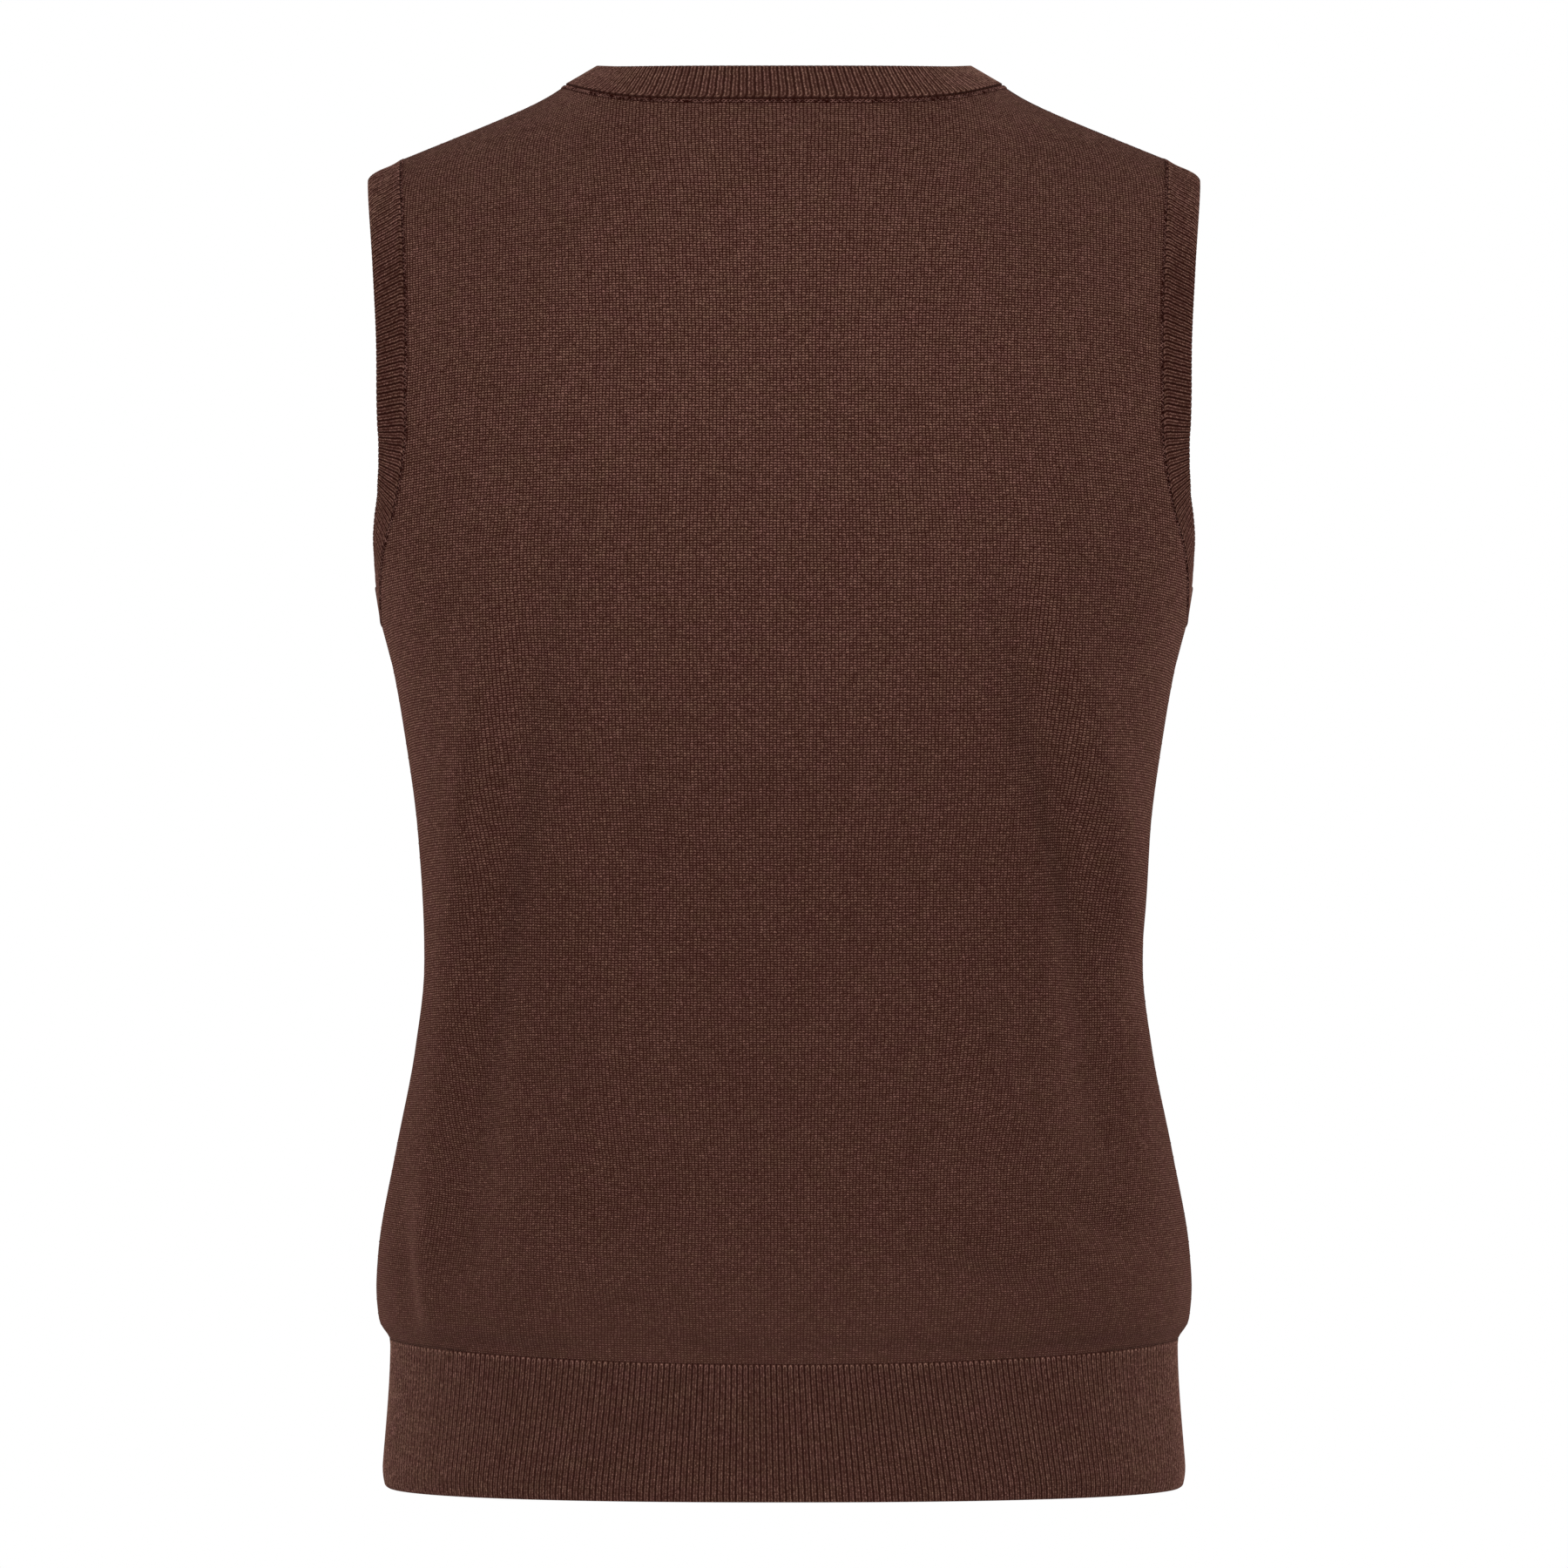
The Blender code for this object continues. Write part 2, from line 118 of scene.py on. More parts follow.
# %% Two lamps for the back and two for the rounded sides
LAMPS = (  # name, place, width in metres, watts
    ("lamp_back_left", (1.2, 2.3, 1.0), 1.2, 44.0),
    ("lamp_back_right", (-1.2, 2.3, 1.0), 1.2, 44.0),
    ("lamp_front_left", (1.95, -1.2, 0.1), 1.0, 70.0),
    ("lamp_front_right", (-1.95, -1.2, 0.1), 1.0, 70.0),
)
VEST_MIDDLE = np.array([0, 0, CAMERA_HEIGHT])

for name, place, width, watts in LAMPS:
    bpy.ops.object.light_add(type="AREA", location=place)
    lamp = bpy.context.object
    lamp.name = name
    lamp.data.size = width
    lamp.data.energy = watts
    aim = VEST_MIDDLE - np.array(place)
    tilt = math.atan2(math.hypot(aim[0], aim[1]), -aim[2])
    lamp.rotation_euler = (tilt, 0, math.atan2(aim[1], aim[0]) - math.pi / 2)
print(len(LAMPS), "soft lamps")

# %% [markdown]
# ## Shader arithmetic
# A knitted pattern is arithmetic on two numbers: how many wales across a point lies, and how many
# courses along. Blender keeps such sums as Math nodes. To write them as ordinary Python, a small
# class wraps a socket: adding or multiplying two wrapped values adds the node that does it.

# %% A value in a material, used as a number
class Value:
    """A socket of a material, which ordinary arithmetic turns into Math nodes."""

    def __init__(self, tree, socket):
        self.tree = tree
        self.socket = socket

    def node(self, kind, settings, inputs, output=0):
        """Adds any node: its settings are set first, then the values or links of its sockets."""
        made = self.tree.nodes.new(kind)
        for name, setting in settings.items():
            setattr(made, name, setting)
        for place, value in inputs.items():
            if isinstance(value, Value):
                self.tree.links.new(value.socket, made.inputs[place])
            else:
                made.inputs[place].default_value = value
        return Value(self.tree, made.outputs[output])

    def math(self, operation, *values, clamp=False):
        settings = {"operation": operation, "use_clamp": clamp}
        return self.node("ShaderNodeMath", settings, dict(enumerate(values)))

    def __add__(self, other):
        return self.math("ADD", self, other)

    def __radd__(self, other):
        return self.math("ADD", other, self)

    def __sub__(self, other):
        return self.math("SUBTRACT", self, other)

    def __rsub__(self, other):
        return self.math("SUBTRACT", other, self)

    def __mul__(self, other):
        return self.math("MULTIPLY", self, other)

    def __rmul__(self, other):
        return self.math("MULTIPLY", other, self)

    def __truediv__(self, other):
        return self.math("DIVIDE", self, other)

    def __pow__(self, other):
        return self.math("POWER", self, other)

    def __abs__(self):
        return self.math("ABSOLUTE", self)

    def whole(self):
        return self.math("FLOOR", self)

    def part(self):
        return self.math("FRACT", self)

    def within_one(self):
        """The value, kept between 0 and 1."""
        return self.math("ADD", self, 0.0, clamp=True)

    def blend(self, low, high):
        """A colour from low, where the value is 0, to high, where it is 1."""
        inputs = {0: self.within_one(), 6: low, 7: high}
        return self.node("ShaderNodeMix", {"data_type": "RGBA"}, inputs, output=2)


# %% [markdown]
# ## Yarn
# The yarn is a soft matt brown with a short fuzz, in two shades that change over many stitches. In
# the gaps between its strands painted shade makes it nearly black and red, and where a strand lies
# uppermost a painted highlight makes it a paler, greyer brown. Fuzz also catches light at the edges
# of a form, which Principled's sheen gives. Each stitch takes the light a little differently, so it
# gets a random shade of its own from white noise read at its own whole numbers.

# %% The yarn's shades with painted light and shade, and its fuzz
# the yarn's two shades as a fully lit strand shows them, with a painted highlight, then the painted
# shade in the gaps between strands
RED_YARN_LIT = (0.180, 0.088, 0.072, 1)
OLIVE_YARN_LIT = (0.172, 0.094, 0.067, 1)
GAP_SHADE = (0.0130, 0.0014, 0.0007, 1)
SHADE_PATCHES = 0.17  # how finely the two shades are mixed
SHADE_CONTRAST = 2.2
ROUGHNESS = 0.90
FUZZ = 0.02
FUZZ_ROUGHNESS = 0.40
FUZZ_TINT = (0.85, 0.62, 0.55, 1)


def matt_yarn(name):
    """A new material without gloss, and with the yarn's fuzz."""
    material = bpy.data.materials.new(name)
    material.use_nodes = True
    shader = material.node_tree.nodes["Principled BSDF"]
    shader.inputs["Roughness"].default_value = ROUGHNESS
    shader.inputs["Specular IOR Level"].default_value = 0.0
    shader.inputs["Sheen Weight"].default_value = FUZZ
    shader.inputs["Sheen Roughness"].default_value = FUZZ_ROUGHNESS
    shader.inputs["Sheen Tint"].default_value = FUZZ_TINT
    return material


def start_cloth(name):
    """A new cloth material, and the piece's wale and course numbers."""
    material = matt_yarn(name)
    start = Value(material.node_tree, None)
    knit = start.node("ShaderNodeUVMap", {"uv_map": "knit"}, {})
    wale = knit.node("ShaderNodeSeparateXYZ", {}, {0: knit}, output=0)
    course = knit.node("ShaderNodeSeparateXYZ", {}, {0: knit}, output=1)
    return material, wale, course


def cloud(across, along, scale, seed):
    """Soft noise between about -0.5 and 0.5, finer the larger its scale; each seed differs."""
    place = across.node("ShaderNodeCombineXYZ", {}, {0: across, 1: along})
    inputs = {"Vector": place, "Scale": scale, "Detail": 2.0, "Roughness": 0.6, "W": seed}
    return place.node("ShaderNodeTexNoise", {"noise_dimensions": "4D"}, inputs) - 0.5


def stitch_shade(across, along, spread):
    """A number around 1 that is the same all over one stitch: a few stitches are much brighter."""
    cell = across.node("ShaderNodeCombineXYZ", {}, {0: across.whole(), 1: along.whole()})
    chance = cell.node("ShaderNodeTexWhiteNoise", {"noise_dimensions": "2D"}, {"Vector": cell})
    return 1 + spread * (chance + 0.5 * chance**8 - 0.55)


def finish_cloth(material, wale, course, light, height, depth):
    """Colours the cloth by painted light, from the painted shade of its gaps to the painted
    highlight of its bright strands, and raises it by height.
    """
    tree = material.node_tree
    shader = tree.nodes["Principled BSDF"]
    mixed = 0.5 + SHADE_CONTRAST * cloud(wale, course, SHADE_PATCHES, 3.0)
    yarn = mixed.blend(RED_YARN_LIT, OLIVE_YARN_LIT)
    colour = light.blend(GAP_SHADE, yarn)
    bump = height.node("ShaderNodeBump", {}, {"Strength": 1.0, "Distance": depth, "Height": height})
    tree.links.new(colour.socket, shader.inputs["Base Color"])
    tree.links.new(bump.socket, shader.inputs["Normal"])
    return material


# %% [markdown]
# ## Plain jersey
# Plain jersey has columns of stitches, its wales, and rows of them, its courses. From a step away
# the loops of a stitch look like a small arch: its crown lies uppermost and gets a painted
# highlight, its legs bend down into the next course, and the gap below the crown gets painted
# shade. So the distance from an arched line, repeated in every course, gives the strand and its
# painted light. Towards the next wale the legs sink in. Below the waist the cloth hangs slack and
# its stitches run together a little, and painted shade darkens it there; in the puff above the
# rib its stitches run together. Painted shade darkens the last courses before an edge that a band
# is linked to. On the wrong side the loops' feet make flatter waves.

# %% The strand of an arch, in wales across and courses along
LOOSE = 0.80  # how far stitches stray from their row and wale
ARCH_FALL = 1.5  # how steeply the arch falls away on both sides of its crown
CROWN_HALF = 0.33
FOOT_PLACE = 0.27  # the feet of the legs, from the middle of the wale
FOOT_HALF = 0.17
FOOT_LIGHT = 0.22
SUNK_PLACE = 0.45  # where the strand has sunk in between two wales
SUNK_LIGHT = 0.04
STITCH_RELIEF = 0.00018


def arches(across, along):
    """How high the strand lies, also its painted light: 1 at the crown, 0 in the gap below it."""
    aside = abs(across.part() - 0.5)
    below_crown = (along + ARCH_FALL * aside * aside).part() - 0.5
    crown = (1 - (below_crown / CROWN_HALF) ** 2).within_one()
    feet = (1 - ((aside - FOOT_PLACE) / FOOT_HALF) ** 2).within_one()
    strand = crown.math("MAXIMUM", crown, FOOT_LIGHT * feet)
    sunk = (1 - (aside / SUNK_PLACE) ** 3).within_one()
    return strand * (SUNK_LIGHT + (1 - SUNK_LIGHT) * sunk)


# %% The right side of the jersey: rows of small arches
JERSEY_LIGHT = 0.86
STITCH_SPREAD = 0.45  # how much the light differs from one stitch to the next
STRAND_SPREAD = 0.70  # and from one quarter of a stitch to the next
PATCH_SPREAD = 0.18  # and over a few stitches
REGION_SPREAD = 0.20  # and over some thirty
WAIST_COURSE = 210
CHEST_COURSE = 400
# light of the cloth at the waist and below, lowered as painted shade
BELOW_WAIST_SHADE_LIGHT = 0.76
LOOSE_EVEN = 0.10  # share by which slack stitches run together, and the same in the puff
PUFF_EVEN = 0.36
PUFF_COURSES = 70
EVEN_LIGHT = 0.34
SEAM_SHADE_REACH = 0.0025  # how far from a linked edge the painted shade reaches, in metres
SEAM_SHADE_SOFT = 0.0005
SEAM_SHADE_LIGHT = 0.20


def jersey_cloth():
    """Arches whose painted light changes from stitch to stitch, in patches, and from chest to rib,
    darker below the waist as painted shade; painted shade also lies beside the linked edges.
    """
    material, wale, course = start_cloth("jersey_face")
    across = wale + LOOSE * cloud(wale, course, 0.33, 1.0)
    along = course + LOOSE * cloud(wale, course, 0.40, 2.0)
    form = arches(across, along)
    uneven = 1 + PATCH_SPREAD * cloud(wale, course, 0.21, 4.0)
    uneven = uneven + REGION_SPREAD * cloud(wale, course, 0.03, 5.0)
    drawn = ((course - WAIST_COURSE) / (CHEST_COURSE - WAIST_COURSE)).within_one()
    # painted shade: darker from the chest down to the waist and below
    level = BELOW_WAIST_SHADE_LIGHT + (1 - BELOW_WAIST_SHADE_LIGHT) * drawn
    bright = form * stitch_shade(across, along, STITCH_SPREAD)
    bright = bright * stitch_shade(across * 2, along * 2, STRAND_SPREAD)
    evened = LOOSE_EVEN * (1 - drawn) + PUFF_EVEN * (1 - course / PUFF_COURSES).within_one()
    bright = (bright + evened * (EVEN_LIGHT - bright)) * uneven * level
    # painted shade in the last courses before an edge that a band is linked to
    linked = wale.node("ShaderNodeUVMap", {"uv_map": "linked"}, {})
    from_band = wale.node("ShaderNodeSeparateXYZ", {}, {0: linked}, output=0)
    clear_of_seam_shade = ((from_band - SEAM_SHADE_REACH) / SEAM_SHADE_SOFT).within_one()
    light = JERSEY_LIGHT * bright * (SEAM_SHADE_LIGHT + (1 - SEAM_SHADE_LIGHT) * clear_of_seam_shade)
    return finish_cloth(material, wale, course, light, form, STITCH_RELIEF)


jersey_face = jersey_cloth()
print("jersey nodes:", len(jersey_face.node_tree.nodes))


# %% The wrong side of the jersey: flatter waves
PURL_LIGHT = 0.62
WAVE_HEIGHT = 0.2  # in courses, as is half the thickness of the wave
WAVE_HALF = 0.3


def purl_cloth():
    """Waves with the same shades, but duller."""
    material, wale, course = start_cloth("jersey_wrong_side")
    sway = wale.math("COSINE", wale * (2 * math.pi))
    wave = course.part() - 0.5 - WAVE_HEIGHT * sway
    form = (1 - (wave / WAVE_HALF) ** 2).within_one()
    light = PURL_LIGHT * form * stitch_shade(wale, course, 0.5)
    return finish_cloth(material, wale, course, light, form, STITCH_RELIEF)


jersey_wrong_side = purl_cloth()
print("wrong side nodes:", len(jersey_wrong_side.node_tree.nodes))

# %% [markdown]
# ## Ribbing
# In 1x1 rib, every second wale turns its back and sinks between its neighbours. What shows is a
# ridge with the two legs of a stitch side by side, then a narrow dark groove. The mesh has the
# ridges and grooves themselves. The material adds the legs, the short stitches along them, and the
# loop that arches over each ridge where the rib begins; its courses are counted from that edge.
# Legs and loops are painted light, painted shade darkens the grooves, the line between the legs and
# each rib's first courses, and one leg of each rib gets a painted highlight. In the narrow bands
# the line between the two legs is painted nearly as dark as the groove, and in the welt it is
# lighter. Painted light brightens the ribs over the shoulders, towards the side seams and away from
# the middle of the nape, and round the hips their legs run together.

# %% Ribs with two legs, in ribs across and courses along
LEG_PLACE = 0.22  # from the middle of a rib
LEG_OPENS = 0.03  # how much further out a leg lies at the top of its stitch
GROOVE_PLACE = 0.46
STITCH_DIP = 0.5  # how far the strand sinks where one stitch enters the next


def legs(across, course, half, middle, painted_leg_highlight):
    """The two legs of each rib: half a leg's width, the painted light between the legs, and how
    much brighter the left leg is painted, as a painted highlight."""
    aside = abs(across.part() - 0.5)
    up = course.part()
    leg = (1 - ((aside - LEG_PLACE - LEG_OPENS * up) / half) ** 2).within_one()
    between = middle * (1 - (aside / GROOVE_PLACE) ** 6).within_one()
    # a painted highlight on one leg of each rib
    strand = leg.math("MAXIMUM", leg, between) * (1 + painted_leg_highlight * (0.5 - across.part()))
    return strand * (1 - STITCH_DIP * (2 * up - 1) ** 4)


# %% The loop that arches over the start of each rib
ARCH_COURSES = 1.9
ARCH_HALF_SPAN = 0.30
ARCH_RADIUS = 0.78  # as a share of its span and height
ARCH_HALF = 0.24


def first_loop(across, course):
    """A ring that spans each rib's first courses: its painted light."""
    aside = abs(across.part() - 0.5)
    to_top = (ARCH_COURSES - course) / ARCH_COURSES
    radius = ((aside / ARCH_HALF_SPAN) ** 2 + to_top**2) ** 0.5
    ring = (1 - ((radius - ARCH_RADIUS) / ARCH_HALF) ** 2).within_one()
    return ring * (1 - (course / ARCH_COURSES).whole()).within_one()


# %% The cloth of a ribbed band
RIB_RELIEF = 0.00016
RIB_WANDER = 0.25  # how far legs stray from their place in the rib
RIB_SPREAD = 1.10  # how much the light differs from one leg of a stitch to the next
FIBRE_SPREAD = 0.90  # and within a leg
RIB_PATCH_SPREAD = 0.4  # and over a few ribs
STARTED_COURSES = 2.2  # over which the painted shade at a rib's start fades to the legs' full light
EVEN_RIB_LIGHT = 0.50


def rib_cloth(name, half, middle, groove, painted_leg_highlight, first, arched, brightness, evenness):
    """groove is the painted light in the groove, first and arched the painted light of the legs and
    of the loop where a rib begins, a low first being painted shade there; brightness, the painted
    light along the band, and evenness are functions of the rib."""
    material, rib, course = start_cloth(name)
    across = rib + RIB_WANDER * cloud(rib, course, 0.5, 1.0)
    evened = evenness(rib)
    # painted shade in each rib's first courses, gone where its legs run together
    start_shade_gone = (first + evened + course / STARTED_COURSES).within_one()
    loop = first_loop(across, course)
    form = legs(across, course, half, middle, painted_leg_highlight) * start_shade_gone
    form = form.math("MAXIMUM", form, loop)
    shade = stitch_shade(rib * 4, course * 1.3, RIB_SPREAD)
    shade = shade * stitch_shade(rib * 8, course * 2.0, FIBRE_SPREAD)
    uneven = 1 + RIB_PATCH_SPREAD * cloud(rib, course, 0.15, 4.0)
    seen = form + evened * (EVEN_RIB_LIGHT - form)
    light = groove + brightness(rib) * seen * shade * uneven + arched * loop * shade * (1 - evened)
    return finish_cloth(material, rib, course, light, form, RIB_RELIEF)


# %% The painted light along each band, and how even its ribs are
HEM_RIBS = 186
NECKBAND_RIBS = 225
ARMBAND_RIBS = 180


def hip_painted_light(rib):
    """Painted light, brighter towards the side seams."""
    return 0.40 + 0.30 * (abs(rib / HEM_RIBS - 0.5) / 0.5) ** 4


def hip_evenness(rib):
    """How far the legs run together there: not at all over the middle three fifths."""
    return 0.6 * (abs(rib / HEM_RIBS - 0.5) / 0.12 - 2.6).within_one()


def nape_painted_light(rib):
    """Painted light and shade: darkest at the middle of the nape, brighter from 26 ribs away."""
    return 0.48 + 0.30 * (abs(rib - NECKBAND_RIBS / 2) / 26).within_one() ** 2


def shoulder_painted_light(rib):
    """Painted light: brightest at the top of the shoulder, and darker from 28 ribs away."""
    return 0.44 + 0.42 * (1 - (abs(rib - ARMBAND_RIBS / 2) / 28) ** 2).within_one()


def crisp(rib):
    """No evenness: in a narrow band the legs never run together."""
    return 0.0


welt_rib = rib_cloth(
    "welt_rib", half=0.13, middle=0.24, groove=0.06, painted_leg_highlight=0.0, first=0.45, arched=0.34,
    brightness=hip_painted_light, evenness=hip_evenness,
)
neck_rib = rib_cloth(
    "neck_rib", half=0.15, middle=0.12, groove=0.07, painted_leg_highlight=0.9, first=0.25, arched=0.0,
    brightness=nape_painted_light, evenness=crisp,
)
arm_rib = rib_cloth(
    "arm_rib", half=0.14, middle=0.10, groove=0.03, painted_leg_highlight=0.2, first=0.50, arched=0.0,
    brightness=shoulder_painted_light, evenness=crisp,
)
for cloth in (welt_rib, neck_rib, arm_rib):
    print(cloth.name, "has", len(cloth.node_tree.nodes), "nodes")

# %% [markdown]
# ## The worn form
# A vest filled by a body is a stack of rounded sections. The table gives a few of them by their
# drop below the shoulder points: how wide each is, how far it stands behind and in front of the
# side seams, and how square it is. A smooth curve through each column gives any height between.
# Over the shoulders the form is drawn in towards a ridge, as a dome is.

# %% The sizes of the cut
BACK, FRONT = 1, -1
NECK_HALF = 0.0878  # centre to the shoulder seam's neck end
SHOULDER_SLOPE = 0.404
SHOULDER_HOLLOW = 0.0034  # how far the seam dips as it leaves the neck
HOLLOW_RUN = 0.0090
NAPE_RISE = (SHOULDER_SLOPE + SHOULDER_HOLLOW / HOLLOW_RUN) * NECK_HALF / 3  # smooth at the neck
BACK_NECK_DROP = 0.0093
BACK_NECK_SQUARE = 5.0  # high, so the neck runs level and turns up only at its ends
FRONT_NECK_DROP = 0.165
FRONT_NECK_BOW = 0.85  # 1 is a straight V
UNDERARM_DROP = 0.2175
RIB_TOP_DROP = 0.5100
RIB_TOP_RISE = 0.0050  # the rib's upper edge is this much higher at the side seams
HEM_DROP = 0.5642
SHOULDER_ROUND = {BACK: 0.110, FRONT: 0.125}  # drop over which the form comes to its full depth
SEAM_GAP = 0.0003

SECTIONS = (  # drop, half width, depth behind and before the side seams, squareness
    (0.000, 0.1820, 0.0950, 0.0880, 2.30),
    (0.060, 0.1820, 0.0985, 0.0950, 2.30),
    (0.120, 0.1820, 0.1010, 0.1060, 2.30),
    (0.153, 0.1800, 0.1010, 0.1110, 2.32),
    (0.187, 0.1715, 0.1000, 0.1150, 2.35),
    (0.208, 0.1650, 0.0990, 0.1165, 2.36),
    (0.229, 0.1587, 0.0975, 0.1165, 2.36),
    (0.260, 0.1529, 0.0935, 0.1130, 2.34),
    (0.303, 0.1472, 0.0865, 0.1030, 2.30),
    (0.355, 0.1444, 0.0830, 0.0955, 2.26),
    (0.388, 0.1481, 0.0890, 0.0960, 2.26),
    (0.429, 0.1562, 0.1010, 0.0990, 2.28),
    (0.471, 0.1634, 0.1100, 0.1010, 2.30),
    (0.484, 0.1641, 0.1115, 0.1015, 2.32),
    (0.497, 0.1630, 0.1110, 0.1010, 2.32),
    (0.506, 0.1583, 0.1075, 0.0990, 2.30),
    (0.5642, 0.1620, 0.1085, 0.1000, 2.30),
)
ARMHOLE = (  # drop, how far the panel reaches towards the half width: the back, the front
    (0.0000, 0.850, 0.846),
    (0.0312, 0.846, 0.842),
    (0.0700, 0.833, 0.806),
    (0.1060, 0.826, 0.782),
    (0.1400, 0.830, 0.782),
    (0.1560, 0.846, 0.800),
    (0.1720, 0.882, 0.846),
    (0.1867, 0.930, 0.908),
    (0.1997, 0.963, 0.953),
    (0.2100, 0.984, 0.980),
    (0.2175, 1.000, 1.000),
)


# %% Smooth curves through the tables
def unit(vectors):
    return vectors / np.linalg.norm(vectors, axis=-1, keepdims=True)


def curve_through(table, column):
    """A smooth curve through one column of a table, by drop, that never overshoots its rows."""
    x = np.array([row[0] for row in table])
    y = np.array([row[column] for row in table])
    gap = np.diff(x)
    slope = np.diff(y) / gap
    lean = np.zeros(len(x))
    for k in range(1, len(gap)):
        if slope[k - 1] * slope[k] > 0:
            before = 2 * gap[k] + gap[k - 1]
            after = gap[k] + 2 * gap[k - 1]
            lean[k] = (before + after) / (before / slope[k - 1] + after / slope[k])
    lean[0], lean[-1] = slope[0], slope[-1]

    def at(drop):
        drop = np.clip(drop, x[0], x[-1])
        k = np.clip(np.searchsorted(x, drop) - 1, 0, len(gap) - 1)
        t = (drop - x[k]) / gap[k]
        level = y[k] * (1 + 2 * t) * (1 - t) ** 2 + y[k + 1] * t * t * (3 - 2 * t)
        return level + gap[k] * (lean[k] * t * (1 - t) ** 2 + lean[k + 1] * t * t * (t - 1))

    return at


half_width = curve_through(SECTIONS, 1)
depth = {BACK: curve_through(SECTIONS, 2), FRONT: curve_through(SECTIONS, 3)}
squareness = curve_through(SECTIONS, 4)
armhole_share = {BACK: curve_through(ARMHOLE, 1), FRONT: curve_through(ARMHOLE, 2)}
print("half width at the waist:", round(float(half_width(0.355)), 4), "m")


# %% The form's ridge, the panels' upper edges and the surface
NUDGE = 0.0001  # the small step that slopes are taken over


def ridge(x):
    """Height of the ridge: the shoulder seams, joined across the neck by a low arch."""
    out = np.maximum(np.abs(x) - NECK_HALF, 0)
    seam = -SHOULDER_SLOPE * out - SHOULDER_HOLLOW * (1 - np.exp(-out / HOLLOW_RUN))
    return seam + NAPE_RISE * (1 - np.minimum(np.abs(x) / NECK_HALF, 1) ** 3)


def upper_edge(side, x):
    """Height of a panel's upper edge: the neck between the shoulder seams."""
    share = np.minimum(np.abs(x) / NECK_HALF, 1)
    if side == BACK:
        neck = -BACK_NECK_DROP * (1 - share**BACK_NECK_SQUARE)
    else:
        neck = -FRONT_NECK_DROP * (1 - share) ** FRONT_NECK_BOW
    return np.where(share < 1, neck, ridge(x))


def reach(side, x, z):
    """How far the form stands from the side seams' plane."""
    square = squareness(-z)
    across = np.minimum(np.abs(x) / half_width(-z), 1)
    section = (1 - across**square) ** (1 / square)
    over = np.clip((ridge(x) - z) / SHOULDER_ROUND[side], 0, 1)
    return side * depth[side](-z) * section * np.sqrt(1 - (1 - over) ** 2)


def facing(side, points):
    """Outward normals, from the slope of the squared reach, which has no sharp edge."""
    x, y, z = np.moveaxis(points, -1, 0)
    across = reach(side, x + NUDGE, z) ** 2 - reach(side, x - NUDGE, z) ** 2
    upward = reach(side, x, z + NUDGE) ** 2 - reach(side, x, z - NUDGE) ** 2
    return unit(np.stack([-across, 4 * NUDGE * y, -upward], -1))


print("the waist stands", round(float(reach(BACK, 0, -0.355)), 4), "m behind the side seams")

# %% [markdown]
# ## Rows of a panel
# Knitted cloth is laid row by row, as the machine made it. Below the underarm a row runs level from
# side seam to side seam. Above it, rows run between the armholes and fan out to the neck and the
# shoulder seams. Each row is drawn finely across the form and then divided by length, so that the
# squares of the net stay about as wide as real cloth, and nothing is stretched in one place.

# %% Lengths along a path
def measured(path):
    """The way from a path's start to each of its points."""
    steps = np.linalg.norm(np.diff(path, axis=0), axis=1)
    return np.concatenate([[0], np.cumsum(steps)])


def divided(path, shares):
    """The points that lie at these shares of a path's length."""
    length = measured(path)
    places = shares * length[-1]
    return np.stack([np.interp(places, length, path[:, k]) for k in range(3)], 1)


# %% The rows below the underarm
FINER = 6
COLUMNS = 20 * FINER
LOWER_ROWS = (0.5097, 0.499, 0.487, 0.471, 0.450, 0.422, 0.392, 0.360, 0.325, 0.290, 0.258, 0.234)
LOWER_FINER = 5
SIDE_GRADING = 0.4  # columns are this much closer than even at the side seams
FINE_STEPS = 1441  # points along a row before it is divided


def finer(table, times):
    """The table's numbers with more between them."""
    count = (len(table) - 1) * times + 1
    return np.interp(np.linspace(0, len(table) - 1, count), np.arange(len(table)), table)


def across_shares():
    """Where the columns stand on a row, a little closer together at the side seams."""
    even = np.linspace(0, 1, COLUMNS + 1)
    return even - SIDE_GRADING * np.sin(2 * math.pi * even) / (2 * math.pi)


def row_path(side, edge, height):
    """A fine path across the form, from the wearer's left edge to the right one."""
    x = edge * np.cos(np.linspace(0, math.pi, FINE_STEPS))
    z = height(x)
    return np.stack([x, reach(side, x, z), z], 1)


def level_row(side, drop, rise, shares):
    """A row from side seam to side seam, whose ends stand higher than its middle by rise."""
    width = half_width(drop - rise)
    return divided(row_path(side, width, lambda x: -drop + rise * (x / width) ** 2), shares)


# %% The rows from the underarm up
UPPER_ROWS = (0, 0.008, 0.025, 0.06, 0.12, 0.20, 0.30, 0.41, 0.53, 0.65, 0.76, 0.86, 0.93, 0.975, 1)
UPPER_FINER = 4
UPPER_COUNT = (len(UPPER_ROWS) - 1) * UPPER_FINER + 1
SHOULDER_COLUMNS = {BACK: 4 * FINER, FRONT: 3 * FINER}  # columns that end on the shoulder seam
ARMHOLE_COLUMNS = 6 * FINER  # columns that narrow beside the armhole
ARMHOLE_GRADING = 1.5  # power by which they narrow, most at the edge
SEAM_GRADING = 0.65  # power by which columns close up along a shoulder seam, towards the neck
NECK_GRADING = 1.6  # power by which they open out along the neck's edge


def underarm_length(side):
    """Half the length of the row that runs from side seam to side seam at the underarm."""
    path = row_path(side, half_width(UNDERARM_DROP), lambda x: np.full_like(x, -UNDERARM_DROP))
    return measured(path)[-1] / 2


